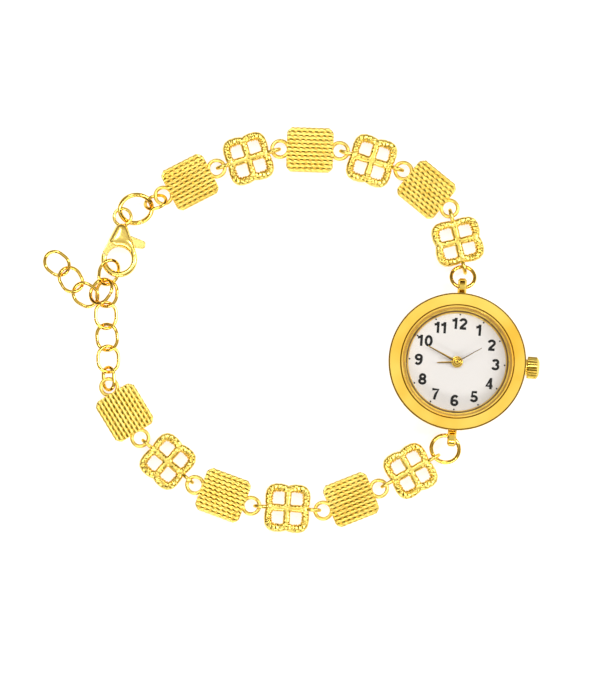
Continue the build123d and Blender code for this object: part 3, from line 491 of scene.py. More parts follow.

# %% [markdown]
# The bezel's flat ring is brushed in circles, so its lines run round the dial. The
# distance from the watch's axis, which is the Z axis, gives those lines. The shade
# in its fine turned grooves is painted dark into the colour. Real brush lines are
# finer than a pixel and are drawn as coarse as they need to show.

# %% Brushed ring
BRUSHED_DRIFT_SIZE, BRUSHED_GLOSS_DRIFT = 6, (0.8, 1.25)
LINE_HEIGHT, LINE_STRENGTH = 0.002, 0.5
GROOVE_SHADE_STOPS = [(0.0, "#ffffff"), (0.35, "#6a4a18"), (0.65, "#6a4a18"), (1.0, "#ffffff")]


def brushed_ring(name, light, deep, roughness, line_mm, grooves_mm):
    """Gold plate with lines in circles about the Z axis, darker between each groove's two radii."""
    material, add = new_material(name)
    where = add("TexCoord").outputs["Object"]
    flat = add("VectorMath", {0: where, 1: (1, 1, 0)}, operation="MULTIPLY")
    reach = add("VectorMath", {0: flat}, operation="LENGTH").outputs["Value"]
    lines = add("TexNoise", {
        "W": reach, "Scale": 1 / (line_mm * MM), "Detail": 4.0}, noise_dimensions="1D")
    drift = add("TexNoise", {"Vector": where, "Scale": 1 / (BRUSHED_DRIFT_SIZE * MM), "Detail": 2.0})
    colour = add("ValToRGB", {0: drift})
    set_ramp(colour, list(zip(DRIFT_STOPS, (deep, light))))
    tone = colour
    for inner, outer in grooves_mm:
        from_groove = add("MapRange", {"Value": reach, "From Min": inner * MM, "From Max": outer * MM})
        shadow = add("ValToRGB", {0: from_groove})
        set_ramp(shadow, GROOVE_SHADE_STOPS)
        tone = add("Mix", {
            0: 1.0, 6: tone, 7: shadow}, data_type="RGBA", blend_type="MULTIPLY").outputs[2]
    gloss = add("MapRange", {
        "Value": lines, "To Min": roughness * BRUSHED_GLOSS_DRIFT[0],
        "To Max": roughness * BRUSHED_GLOSS_DRIFT[1]})
    bump = add("Bump", {"Height": lines, "Strength": LINE_STRENGTH, "Distance": LINE_HEIGHT * MM})
    surface = add("BsdfPrincipled", {
        "Metallic": 1.0, "Base Color": tone, "Roughness": gloss, "Normal": bump})
    add("OutputMaterial", {"Surface": surface})
    return material


BEZEL_GROOVES, REHAUT_GROOVES = ((8.14, 8.36), (9.76, 9.98)), ((7.2, 7.5),)
# Bezel: brushed on its flat, with painted shade for a turned line at its inner and outer edge
bezel_gold = brushed_ring("brushed_gold_ring", "#fad868", "#f0bf46", 0.34, 0.09, BEZEL_GROOVES)
# The sloped ring round the dial: turned, with a softer shine than the bezel, and painted shade for one
# turned line
rehaut_gold = brushed_ring("turned_gold_ring", "#fad75e", "#edc248", 0.42, 0.12, REHAUT_GROOVES)
print("finishes so far:", len(bpy.data.materials))

# %% [markdown]
# The rest is not plated: the lacquered dial, its print, the seals and the movement
# inside. Each has one colour with a faint grain, so one short function makes all.

# %% Lacquer, print, seals and the movement's materials
GRAIN_STOPS = (0.35, 0.65)


def plain_finish(name, light, deep, roughness, grain_mm, grain_height_mm, extras=None):
    """A lacquered, moulded or stamped surface with a faint grain. Extras are more of its sockets."""
    material, add = new_material(name)
    where = add("TexCoord").outputs["Object"]
    grain = add("TexNoise", {"Vector": where, "Scale": 1 / (grain_mm * MM), "Detail": 2.0})
    colour = add("ValToRGB", {0: grain})
    set_ramp(colour, list(zip(GRAIN_STOPS, (deep, light))))
    bump = add("Bump", {"Height": grain, "Strength": 1.0, "Distance": grain_height_mm * MM})
    surface = add("BsdfPrincipled", {
        "Base Color": colour, "Roughness": roughness, "Normal": bump, **(extras or {})})
    add("OutputMaterial", {"Surface": surface})
    return material


METAL = {"Metallic": 1.0}
# Dial: brass under white lacquer with a thin clear coat
dial_white = plain_finish(
    "white_dial_lacquer", "#dad8d7", "#d6d4d2", 0.4, 0.15, 0.001, {"Coat Weight": 0.3})
# Print: thick matt ink, pressed on by a soft pad, with next to no shine
ink_black = plain_finish(
    "black_pad_print", "#0b0a0a", "#060505", 0.6, 0.08, 0.002, {"Specular IOR Level": 0.12})
# Seals: a moulded amber ring holds the glass, and a black rubber one the back
amber = plain_finish("amber_seal", "#cfa144", "#bb8d34", 0.5, 0.1, 0.002)
rubber = plain_finish("nitrile_rubber", "#2c2214", "#20180e", 0.7, 0.1, 0.004)
# Metals inside: bare, stamped and a little dull
steel = plain_finish("stainless_steel", "#c9c8c5", "#b8b6b2", 0.28, 0.4, 0.003, METAL)
brass = plain_finish("stamped_brass", "#d9b35e", "#c79f4b", 0.3, 0.3, 0.002, METAL)
# Coil: the windings of its fine wire show as a grain of their own
copper = plain_finish("enamelled_copper", "#b8612e", "#a15124", 0.35, 0.06, 0.006, METAL)
# Plastics inside: a moulded holder and a thin printed board
nylon = plain_finish("white_nylon", "#e9e7e0", "#dedbd2", 0.5, 0.2, 0.003)
circuit = plain_finish("green_circuit_laminate", "#1f6b43", "#195838", 0.45, 0.2, 0.002)
print("finishes so far:", len(bpy.data.materials))

# %% [markdown]
# The glass is a flat mineral crystal. A true glass shader would bend the light and
# darken the dial with its shadow. Only the crystal's edge and a faint veil show,
# so it is a mostly see-through surface, a little denser where it is seen at a slant.

# %% Mineral glass
glass, add = new_material("mineral_glass")
edge_view = add("LayerWeight", {"Blend": 0.35})
veil = add("MapRange", {"Value": edge_view.outputs["Facing"], "To Min": 0.01, "To Max": 0.08})
glass_surface = add("BsdfPrincipled", {
    "Base Color": shade("#eef3f2"), "Roughness": 0.03, "IOR": 1.52, "Alpha": veil})
add("OutputMaterial", {"Surface": glass_surface})
print("finishes in all:", len(bpy.data.materials))

# %% [markdown]
# Every CAD piece gets its finish here. Wheels are brass, and what isn't named is
# gold wire. Some of these pieces are shown below by a finer shape instead.

# %% Finishes for the CAD pieces
NODE_FINISH = {
    "case_middle": turned_gold, "caseback": steel, "caseback_gasket": rubber, "bezel": bezel_gold,
    "crystal": glass, "crystal_gasket": amber, "dial_ring": rehaut_gold, "dial": dial_white,
    "hour_hand": shaded_gilt, "minute_hand": shaded_gilt, "second_hand": bright_gilt,
    "movement_holder": nylon, "main_plate": brass, "train_bridge": steel, "circuit_board": circuit,
    "quartz_can": steel, "coil": copper, "stator": steel, "rotor": steel, "battery": steel,
    "battery_strap": steel, "crown_tube": turned_gold, "stem": steel, "crown": turned_gold,
    "clasp_pin": buffed_gold, "clasp_spring": steel, "clasp_lever": buffed_gold,
    "clasp_body": buffed_gold,
}
for name, node in nodes.items():
    dress(node, NODE_FINISH.get(name, brass if name.endswith("_wheel") else bright_wire))
print("CAD pieces with a finish:", len(nodes))

# %% [markdown]
# ## Rings bent from wire
# A jump ring is a piece of round wire bent until its ends meet, so it has a fine
# seam. The chain's links are the same with a short straight run in each side. A
# curve with a round bevel could draw the wire, but it would have no seam. So a
# torus is taken. Its halves are moved apart for the straight runs, one slice is
# taken out for the seam, and the cut ends are capped and softened.

# %% One ring
RING_STEPS, WIRE_STEPS = 180, 20
SEAM_SOFTNESS = 0.02


def wire_ring(name, width_mm, straight_mm, wire_mm, seam_degrees):
    """A ring about the origin in the XY plane, its straight runs along X."""
    ring = add_shape(
        bpy.ops.mesh.primitive_torus_add, name, major_segments=RING_STEPS, minor_segments=WIRE_STEPS,
        major_radius=(width_mm - wire_mm) / 2 * MM, minor_radius=wire_mm / 2 * MM,
        rotation=(0, 0, math.pi / RING_STEPS), generate_uvs=False)
    slice_angle = 2 * math.pi / RING_STEPS
    seam = round(math.radians(seam_degrees) / slice_angle) * slice_angle

    def in_seam(face):
        middle = face.calc_center_median()
        turn = math.atan2(middle.y, middle.x) - seam
        return abs(math.remainder(turn, 2 * math.pi)) < slice_angle / 2
    pick(ring, "FACE", in_seam)
    bpy.ops.mesh.delete(type="FACE")
    bpy.ops.mesh.select_all(action="SELECT")
    bpy.ops.mesh.fill_holes(sides=WIRE_STEPS)
    close_edit()
    pick(ring, "FACE", lambda face: len(face.verts) == WIRE_STEPS)
    bpy.ops.mesh.bevel(offset=SEAM_SOFTNESS * MM, segments=2, affect="EDGES")
    close_edit()
    for side in (-1, 1) if straight_mm else ():
        pick(ring, "VERT", lambda corner: corner.co.x * side > 0)
        bpy.ops.transform.translate(value=(side * straight_mm / 2 * MM, 0, 0))
        close_edit()
    smooth(ring, 40)
    dress(ring, bright_wire)
    return ring


def stand_for(piece, node):
    """The piece moves with the node's body and is shown in its place."""
    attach(piece, body_of_node[node])
    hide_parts(node)


# %% [markdown]
# Five rings are each of a size of their own. The chain's nine links are equal, so
# one is made as a pattern, copied nine times and then thrown away.

# %% The single rings and the chain
# Each has its name, its width, straight run and wire in mm, and its seam in degrees
RINGS = {
    "head_ring_top": ("upper_head_ring", 4.0, 0, 0.55, 150),
    "head_ring_bottom": ("lower_head_ring", 4.7, 0, 0.6, 215),
    "small_jump_ring": ("small_ring", 3.2, 0.4, 0.5, 250),
    "large_jump_ring": ("large_ring", 5.38, 0, 0.68, 76),
    "end_oval_ring": ("oval_ring", 2.7, 1.1, 0.5, 100),
}
CHAIN_COUNT, CHAIN_RING = 9, ("chain_pattern", 3.7, 0.6, 0.5, 95)
for node, (name, width, straight, wire, seam) in RINGS.items():
    ring = wire_ring(name, width, straight, wire, seam)
    ring.data.transform(place_of(node))
    stand_for(ring, node)
chain_pattern = wire_ring(*CHAIN_RING)
for number in range(1, CHAIN_COUNT + 1):
    node = f"chain_link_{number}"
    stand_for(copy_of(chain_pattern, f"chain_ring_{number}", place_of(node)), node)
bpy.data.objects.remove(chain_pattern)
print("rings:", len(RINGS) + CHAIN_COUNT)

# %% [markdown]
# ## The rope plates
# Each plate is cast with a smooth rounded wall and rows of twisted rope across
# its crowned top. A bump could fake the ropes, but their rounded ends show at the
# plate's edge, so they are real geometry. A profile with two lobes is carried
# along and turned by a Screw modifier, which is how strands are laid. Outer rows
# are shorter, which steps the corners.

# %% One rope row
ROPE_CORNERS, ROPE_LAY, ROPE_STEPS_PER_LAY = 14, 1.7, 18
ROPE_WAIST_SHARE, ROPE_SWELL_SHARE, ROPE_FULLNESS = 0.9, 0.2, 1.2


def rope_row(name, length_mm, start_degrees):
    """A two-strand rope along X, its ends closed."""
    row = add_shape(
        bpy.ops.mesh.primitive_circle_add, name, vertices=ROPE_CORNERS,
        radius=ROW_PITCH / 2 * MM, fill_type="NGON")
    for corner in row.data.vertices:
        turn = math.atan2(corner.co.y, corner.co.x)
        corner.co *= ROPE_WAIST_SHARE + ROPE_SWELL_SHARE * abs(math.cos(turn)) ** ROPE_FULLNESS
    row.data.transform(Matrix.Rotation(math.radians(start_degrees), 4, "Z"))
    lay = row.modifiers.new("lay", "SCREW")
    lay.axis = "Z"
    lay.screw_offset = length_mm * MM
    lay.angle = 2 * math.pi * length_mm / ROPE_LAY
    lay.steps = lay.render_steps = round(ROPE_STEPS_PER_LAY * length_mm / ROPE_LAY)
    lay.use_merge_vertices = False
    apply_modifiers(row)
    to_middle = Matrix.Translation((0, 0, -length_mm / 2 * MM))
    row.data.transform(Matrix.Rotation(math.pi / 2, 4, "Y") @ to_middle)
    return row


# %% [markdown]
# Below the ropes is the plate itself: a block whose corners are cut, whose top is
# raised along its middle line and whose edges are softened. A flat face can't be
# bent, so the block is first bisected into strips.

# %% The plate below the ropes
PLATE_EDGE, PLATE_CROWN, CROWN_STRIPS = 1.45, 0.3, 10
BODY_MARGIN, TOP_INSET, BODY_SOFTNESS = 0.1, 0.12, 0.12
CORNER_CUT, CORNER_PROFILE = 0.7, 0.35


def crown_height(y_mm):
    return PLATE_EDGE + PLATE_CROWN * (1 - (2 * y_mm / PLATE_WIDTH) ** 2)


def plate_body(name):
    """A block with cut corners, a crowned top and softened edges."""
    sides = (PLATE_LENGTH * MM, (PLATE_WIDTH - BODY_MARGIN) * MM, PLATE_EDGE * MM)
    body = add_shape(bpy.ops.mesh.primitive_cube_add, name, size=1, scale=sides)
    pick(body, "EDGE", lambda edge: abs(edge.verts[0].co.z - edge.verts[1].co.z) > MM)
    bpy.ops.mesh.bevel(offset=CORNER_CUT * MM, segments=3, profile=CORNER_PROFILE, affect="EDGES")
    close_edit()
    pick(body, "FACE", lambda face: face.normal.z > 0.9)
    bpy.ops.mesh.inset(thickness=TOP_INSET * MM)
    close_edit()
    for cut in range(1, CROWN_STRIPS):
        open_edit(body, "FACE")
        bpy.ops.mesh.select_all(action="SELECT")
        place = (cut - CROWN_STRIPS / 2) * PLATE_WIDTH / CROWN_STRIPS * MM
        bpy.ops.mesh.bisect(plane_co=(0, place, 0), plane_no=(0, 1, 0))
        close_edit()
    for corner in body.data.vertices:
        corner.co.z += PLATE_EDGE / 2 * MM
        if corner.co.z > PLATE_EDGE / 2 * MM:
            corner.co.z = crown_height(corner.co.y / MM) * MM
    soften = body.modifiers.new("soften", "BEVEL")
    soften.width = BODY_SOFTNESS * MM
    soften.segments = 3
    soften.limit_method = "ANGLE"
    soften.angle_limit = math.radians(50)
    apply_modifiers(body)
    return body


# %% [markdown]
# Each link has a wire eye at either end, cast on in one piece with it. A plate's
# eyes are wide and lie flat, and an open frame's are small and stand upright, so
# that the one can pass through the other.

# %% A pair of eyes
EYE_WIRE, EYE_WIRE_STEPS = 0.55, 16


def end_eyes(reach_mm, radius_mm, height_mm, steps, tilt):
    """The eyes at both ends of a link that lies along X."""
    return [add_shape(
        bpy.ops.mesh.primitive_torus_add, name, major_segments=steps, minor_segments=EYE_WIRE_STEPS,
        major_radius=radius_mm * MM, minor_radius=EYE_WIRE / 2 * MM, generate_uvs=False,
        location=(side * reach_mm * MM, 0, height_mm * MM), rotation=(tilt, 0, 0),
    ) for side, name in ((1, "eye_front"), (-1, "eye_back"))]


# %% [markdown]
# One plate is put together and copied six times. Each row starts its twist
# further round than the one before it, so the strands don't line up. The dashes
# are drawn by a map of the plate's length and width in millimetres.

# %% One rope plate
ROPE_SINK, ROW_TURN = 0.12, 65
STEP_BACKS = {5: 0.6, 4: 0.2}
PLATE_EYE_REACH, PLATE_EYE_RADIUS, PLATE_EYE_HEIGHT = 4.35, 1.2, 1.2
plate_pieces = [plate_body("rope_plate_pattern")]
for index in range(PLATE_ROWS):
    place = index - PLATE_ROWS // 2
    y = place * ROW_PITCH
    step_in = STEP_BACKS.get(abs(place), 0.0)
    row = rope_row(f"row_{index}", PLATE_LENGTH - 2 * step_in, ROW_TURN * index)
    row.data.transform(Matrix.Translation((0, y * MM, (crown_height(y) - ROPE_SINK) * MM)))
    plate_pieces.append(row)
plate_pieces += end_eyes(PLATE_EYE_REACH, PLATE_EYE_RADIUS, PLATE_EYE_HEIGHT, 64, 0)
plate_pattern = join(plate_pieces, "rope_plate_pattern")
smooth(plate_pattern, 50)
dress(plate_pattern, rope_gold)
plate_map = plate_pattern.data.uv_layers.new(name=PLATE_MAP)
for loop, place in zip(plate_pattern.data.loops, plate_map.uv):
    place.vector = plate_pattern.data.vertices[loop.vertex_index].co.xy / MM
print("rope plate triangles:", triangles(plate_pattern))

# %% [markdown]
# A copy goes to the middle of its node's box. As the link lies on the table, its
# foot goes to the foot of that box.

# %% Copies of a link
LINK_COUNT = 6


def lay_links(pattern, kind, name):
    """Copies the pattern to the nodes of a kind, with its foot on the node's foot."""
    bpy.context.view_layer.update()
    foot = min(corner[2] for corner in pattern.bound_box)
    for number in range(1, LINK_COUNT + 1):
        node = f"{kind}_{number}"
        place = place_of(node)
        place.translation.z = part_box(node)[0].z - foot
        stand_for(copy_of(pattern, f"{name}_{number}", place), node)
    bpy.data.objects.remove(pattern)
    print(name, "copies:", LINK_COUNT)


lay_links(plate_pattern, "textured_link", "rope_plate")

# %% [markdown]
# ## The open frames
# The other links are four rope rings cast as one, so that a cross of bars stands
# between four windows. Each ring starts as a torus and is pushed into a rounded
# square. Its wire is nearly plain towards the cross and has a hammered twist
# towards the rim.

# %% One ring of the frame
FRAME_LENGTH, FRAME_WIDTH, FRAME_THICK, FRAME_WIRE, BAR_WIRE = 6.6, 7.0, 1.7, 1.15, 1.05
LOBE_STEPS, LOBE_WIRE_STEPS, LOBE_TUBE = 120, 24, 0.4
TWISTS_PER_RING, TWIST_SPIRAL, OUTER_WAVE, INNER_WAVE, TOP_WAVE_SHARE = 15, 2, 0.03, 0.22, 0.8
WINDOW_SQUARENESS, RIM_ROUNDING, WIRE_SQUARENESS, RIM_START = 5, 2.2, 3, 1.3


def boxed(turn, squareness):
    """How far a rounded square of half side one reaches at an angle."""
    across = abs(math.cos(turn)) ** squareness + abs(math.sin(turn)) ** squareness
    return 1 / across ** (1 / squareness)


def frame_lobe(name, x_side, y_side):
    """One rounded square ring, its inner sides on the cross and its outer sides on the rim."""
    lobe = add_shape(
        bpy.ops.mesh.primitive_torus_add, name, major_segments=LOBE_STEPS, minor_segments=LOBE_WIRE_STEPS,
        major_radius=MM, minor_radius=LOBE_TUBE * MM, generate_uvs=False)
    half = (FRAME_LENGTH - FRAME_WIRE) / 4
    wider = (FRAME_WIDTH - FRAME_LENGTH) / 4
    for corner in lobe.data.vertices:
        x, y, z = corner.co / MM
        turn = math.atan2(y, x)
        tube = math.atan2(z, math.hypot(x, y) - 1)
        outer = (math.cos(turn - math.pi / 4) + 1) / 2
        wire = (BAR_WIRE + (FRAME_WIRE - BAR_WIRE) * min(1, outer * RIM_START)) / 2
        wave = OUTER_WAVE + (INNER_WAVE - OUTER_WAVE) * (1 - math.cos(tube)) / 2
        twist = 1 + wave * outer * math.sin(TWISTS_PER_RING * turn + TWIST_SPIRAL * tube)
        full = boxed(tube, WIRE_SQUARENESS)
        reach = half * boxed(turn, WINDOW_SQUARENESS - RIM_ROUNDING * outer)
        reach += wire * full * twist * math.cos(tube)
        height = FRAME_THICK / 2 * full * (1 + (twist - 1) * TOP_WAVE_SHARE) * math.sin(tube)
        along = half + reach * math.cos(turn)
        across = half + wider + reach * math.sin(turn) * (1 + wider / half)
        corner.co = Vector((x_side * along, y_side * across, height)) * MM
    if x_side * y_side < 0:
        lobe.data.flip_normals()
    return lobe


# %% [markdown]
# The four rings and the two upright eyes still pass through each other. Booleans
# would leave hard seams where they meet. A voxel remesh melts them together into
# one skin, as the mould did, and a little smoothing takes its steps away.

# %% One open frame, then its copies
FRAME_EYE_REACH, FRAME_EYE_RADIUS = 3.8, 0.925
FRAME_GRAIN, FRAME_SMOOTHING = 0.07, 3


def melted(piece, grain_mm, rounds, reshape=None):
    """Remeshes what a piece is made of into one skin, reshapes it and smooths it."""
    melt = piece.modifiers.new("melt", "REMESH")
    melt.mode = "VOXEL"
    melt.voxel_size = grain_mm * MM
    apply_modifiers(piece)
    if reshape:
        reshape(piece)
    even = piece.modifiers.new("even", "SMOOTH")
    even.iterations = rounds
    apply_modifiers(piece)
    bpy.ops.object.shade_smooth()


frame_pieces = [frame_lobe(f"lobe_{x}_{y}", x, y) for x in (-1, 1) for y in (-1, 1)]
frame_pieces += end_eyes(FRAME_EYE_REACH, FRAME_EYE_RADIUS, 0, 48, math.pi / 2)
frame_pattern = join(frame_pieces, "open_frame_pattern")
melted(frame_pattern, FRAME_GRAIN, FRAME_SMOOTHING)
dress(frame_pattern, hammered_gold)
print("open frame triangles:", triangles(frame_pattern))
lay_links(frame_pattern, "openwork_link", "open_frame")

# %% [markdown]
# ## The dial's print
# The twelve numerals are black, upright and printed on the lacquer, with a dot at
# each hour close to the metal ring. A text object would need a font file. The
# figures are plain sans ones with strokes of even width, so each is drawn as a few
# strokes, in shares of its height, with its left foot at the origin.

# %% Strokes of the ten figures
def bow(x, y, across, high, start, end):
    """Points on part of an oval, its angles in degrees."""
    count = max(6, round(abs(end - start) / 15))
    angles = [math.radians(start + (end - start) * step / count) for step in range(count + 1)]
    return [(x + across * math.cos(angle), y + high * math.sin(angle)) for angle in angles]


SIX_SHARES = [bow(0.28, 0.3, 0.19, 0.2, 0, 360), bow(0.31, 0.5, 0.22, 0.4, 45, 180) + [(0.09, 0.3)]]
FIGURE_SHARES = {
    "0": [bow(0.28, 0.5, 0.19, 0.4, 0, 360)],
    "1": [[(0.36, 0.0), (0.36, 1.0)], [(0.1, 0.74), (0.22, 0.76), (0.3, 0.83), (0.34, 0.93)]],
    "2": [bow(0.28, 0.69, 0.195, 0.21, 175, -35) + [(0.14, 0.16)], [(0.06, 0.1), (0.5, 0.1)]],
    "3": [bow(0.27, 0.71, 0.175, 0.19, 165, -90), bow(0.27, 0.31, 0.2, 0.21, 90, -165)],
    "4": [[(0.53, 0.28), (0.1, 0.28), (0.38, 0.9)], [(0.39, 0.0), (0.39, 1.0)]],
    "5": [[(0.47, 0.9), (0.17, 0.9), (0.13, 0.5)] + bow(0.27, 0.32, 0.2, 0.22, 125, -160)],
    "6": SIX_SHARES,
    "7": [[(0.06, 0.9), (0.48, 0.9), (0.32, 0.5), (0.22, 0.0)]],
    "8": [bow(0.28, 0.71, 0.16, 0.19, 0, 360), bow(0.28, 0.3, 0.195, 0.2, 0, 360)],
    "9": [[(0.56 - x, 1 - y) for x, y in stroke] for stroke in SIX_SHARES],
}
print("figures:", len(FIGURE_SHARES))

# %% [markdown]
# A curve gives every stroke the width of a round bar. The bars are then turned
# into a mesh and pressed flat to the thickness of ink, and the numeral is moved so
# that its middle is at the origin.

# %% One numeral
NUMERAL_HEIGHT, STROKE_WIDTH, INK_HEIGHT = 1.64, 0.37, 0.02
FIGURE_WIDENING, FIGURE_STEP, NARROW_STEP = 1.3, 0.57, 0.46
CLOSED_GAP = 0.001


def numeral(text, name):
    """The strokes of one numeral as a flat mesh with its middle at the origin."""
    curve = bpy.data.curves.new(name, "CURVE")
    curve.dimensions = "3D"
    curve.bevel_depth = STROKE_WIDTH / 2 * MM
    curve.bevel_resolution = 2
    curve.use_fill_caps = True
    at = 0.0
    for figure in text:
        for stroke in FIGURE_SHARES[figure]:
            closed = math.dist(stroke[0], stroke[-1]) < CLOSED_GAP
            points = stroke[:-1] if closed else stroke
            spline = curve.splines.new("POLY")
            spline.points.add(len(points) - 1)
            spline.use_cyclic_u = closed
            for point, (x, y) in zip(spline.points, points):
                along = (x + at) * FIGURE_WIDENING
                point.co = (along * NUMERAL_HEIGHT * MM, (y - 0.5) * NUMERAL_HEIGHT * MM, 0, 1)
        at += NARROW_STEP if text == "11" else FIGURE_STEP
    holder = bpy.data.objects.new(name, curve)
    bpy.context.scene.collection.objects.link(holder)
    make_active(holder)
    bpy.ops.object.convert(target="MESH")
    flat = newest(name)
    reaches = [corner.co.x for corner in flat.data.vertices]
    to_middle = Matrix.Translation((-(min(reaches) + max(reaches)) / 2, 0, 0))
    flat.data.transform(Matrix.Diagonal((1, 1, INK_HEIGHT / STROKE_WIDTH, 1)) @ to_middle)
    return flat


# %% Numerals and dots round the dial
NUMERAL_REACH, DOT_REACH, DOT_RADIUS = 5.6, 6.92, 0.12
lift = Vector((0, 0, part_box("dial")[1].z + INK_HEIGHT / 2 * MM))
print_pieces = []
for hour in range(1, 13):
    turn = math.radians(30 * hour)
    outwards = Vector((math.sin(turn), math.cos(turn), 0))
    figure = numeral(str(hour), f"numeral_{hour}")
    figure.data.transform(Matrix.Translation(outwards * NUMERAL_REACH * MM + lift))
    dot = add_shape(
        bpy.ops.mesh.primitive_cylinder_add, f"dot_{hour}", vertices=20,
        radius=DOT_RADIUS * MM, depth=INK_HEIGHT * MM, location=outwards * DOT_REACH * MM + lift)
    print_pieces += [figure, dot]
dial_print = join(print_pieces, "dial_print")
dress(dial_print, ink_black)
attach(dial_print, body_of_node["dial"])
print("numerals and dots:", len(print_pieces))

# %% [markdown]
# ## The hands
# Each hand is a thin ridged blade on a round boss. A flat blade would be bright or
# dark all over. A cylinder with four corners, pressed flat and tapered, has a
# ridge, so that one half of it catches the light and the other turns away. At this
# size the ridge is far too flat to do so by itself, so the half that turns away gets
# a painted shade of the gilt.

# %% Blades
HAND_THICK, BLADE_TIP_SHARES = 0.1, (0.45, 0.8)


def make_blade(name, length_mm, width_mm, middle):
    """A ridged blade along X whose one half is bright gilt and whose other half is painted shade."""
    blade = add_shape(
        bpy.ops.mesh.primitive_cylinder_add, name, vertices=4, radius=width_mm / 2 * MM,
        depth=length_mm * MM, rotation=(0, math.pi / 2, 0), location=(length_mm / 2 * MM, 0, 0))
    blade.data.transform(Matrix.Diagonal((1, 1, HAND_THICK / width_mm, 1)))
    pick(blade, "VERT", lambda corner: corner.co.x > length_mm / 2 * MM)
    bpy.ops.transform.resize(value=(1, *BLADE_TIP_SHARES))
    close_edit()
    dress(blade, bright_gilt, shaded_gilt)
    for face in blade.data.polygons:
        face.material_index = int(face.normal.y > 0)
    blade.data.transform(Matrix.Translation((0, 0, middle)))
    return blade


# %% [markdown]
# The bosses lie on each other as turned discs. Each has its upper edge bevelled,
# and its top is inset twice, the second time downwards, which leaves a bright rim
# round a sunk middle that gets painted shade.

# %% Bosses, and the three hands
BOSS_SOFTNESS, SINK_WALL, SINK_DEPTH = 0.03, 0.02, 0.04


def make_boss(name, radius_mm, rim_mm, middle):
    """A round boss with a bright bevelled rim and painted shade in its sunk middle."""
    boss = add_shape(
        bpy.ops.mesh.primitive_cylinder_add, name, vertices=64, radius=radius_mm * MM,
        depth=HAND_THICK * MM, location=(0, 0, middle))
    pick(boss, "EDGE", lambda edge: all(corner.co.z > middle for corner in edge.verts))
    bpy.ops.mesh.bevel(offset=BOSS_SOFTNESS * MM, segments=2, affect="EDGES")
    close_edit()
    pick(boss, "FACE", lambda face: face.normal.z > 0.99 and len(face.verts) > 4)
    bpy.ops.mesh.inset(thickness=(rim_mm - BOSS_SOFTNESS) * MM)
    bpy.ops.mesh.inset(thickness=SINK_WALL * MM, depth=-SINK_DEPTH * MM)
    close_edit()
    dress(boss, bright_gilt, shaded_gilt)
    for face in boss.data.polygons:
        sunk = face.center.xy.length < (radius_mm - rim_mm) * MM and face.normal.z > 0.1
        face.material_index = int(sunk)
    return boss


# Blade length and width in mm, heading in degrees, boss radius and rim in mm
HANDS = {
    "hour_hand": (2.9, 0.34, -174.5, 0.83, 0.16),
    "minute_hand": (4.8, 0.34, 155.0, 0.6, 0.16),
    "second_hand": (4.1, 0.18, 32.9, 0.35, 0.22),
}
for node, (length, width, heading, radius, rim) in HANDS.items():
    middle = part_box(node)[1].z - HAND_THICK / 2 * MM
    blade = make_blade(node + "_blade", length, width, middle)
    blade.data.transform(Matrix.Rotation(math.radians(heading), 4, "Z"))
    hand = join([make_boss(node + "_boss", radius, rim, middle), blade], node + "_shaped")
    smooth(hand, 25)
    stand_for(hand, node)
print("hands:", len(HANDS))

# %% [markdown]
# ## The crown
# The crown is turned brass with fine ribs to grip and a low domed end. Cutting
# each rib would take a boolean for every groove. Instead, a cylinder with four
# corners for each rib is pinched between the ribs. Its outer end is then extruded
# and shrunk in steps for the dome, and its inner end for the neck.

# %% Crown
# Each step shrinks the end to a share and pushes it out by so many mm
DOME_STEPS = ((0.9, 0.1), (0.88, 0.14), (0.82, 0.1), (0.7, 0.06), (0.5, 0.02))
NECK_STEPS = ((0.92, 0.05), (0.8, 0.02), (1.0, 0.18))


def make_crown(node):
    low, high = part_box(node)
    radius, middle = (high.z - low.z) / 2, (low.z + high.z) / 2
    neck, dome = (sum(rise for shrink, rise in steps) * MM for steps in (NECK_STEPS, DOME_STEPS))
    crown = add_shape(
        bpy.ops.mesh.primitive_cylinder_add, "ribbed_crown", vertices=4 * CROWN_RIBS,
        radius=radius, depth=high.x - low.x - neck - dome, rotation=(0, math.pi / 2, 0),
        location=((low.x + neck + high.x - dome) / 2, 0, middle))
    for corner in crown.data.vertices:
        turn = math.atan2(corner.co.z - middle, corner.co.y)
        pinch = 1 - RIB_DEPTH * MM / radius * (0.5 - 0.5 * math.cos(CROWN_RIBS * turn))
        corner.co.y *= pinch
        corner.co.z = middle + (corner.co.z - middle) * pinch
    for side, steps in ((1, DOME_STEPS), (-1, NECK_STEPS)):
        for shrink, rise in steps:
            pick(crown, "FACE", lambda face: side * face.normal.x > 0.99 and len(face.verts) > 4)
            bpy.ops.mesh.extrude_region_move(TRANSFORM_OT_translate={"value": (side * rise * MM, 0, 0)})
            bpy.ops.transform.resize(value=(1, shrink, shrink))
            close_edit()
    smooth(crown, 35)
    dress(crown, ribbed_gold)
    return crown


stand_for(make_crown("crown"), "crown")
print("crown ribs:", CROWN_RIBS)

# %% [markdown]
# ## The lobster clasp
# The clasp's body and lever have their fit settled in the CAD frame: the lever
# sits in a slot and turns on a pin. The real body also swells. Its belly is a low
# dome with a rounded rim, and it runs smoothly into the round hook. So each point
# of the flat CAD shape gets a new height, worked out from how deep it is inside
# the drop-shaped outline and how far along the clasp it is.

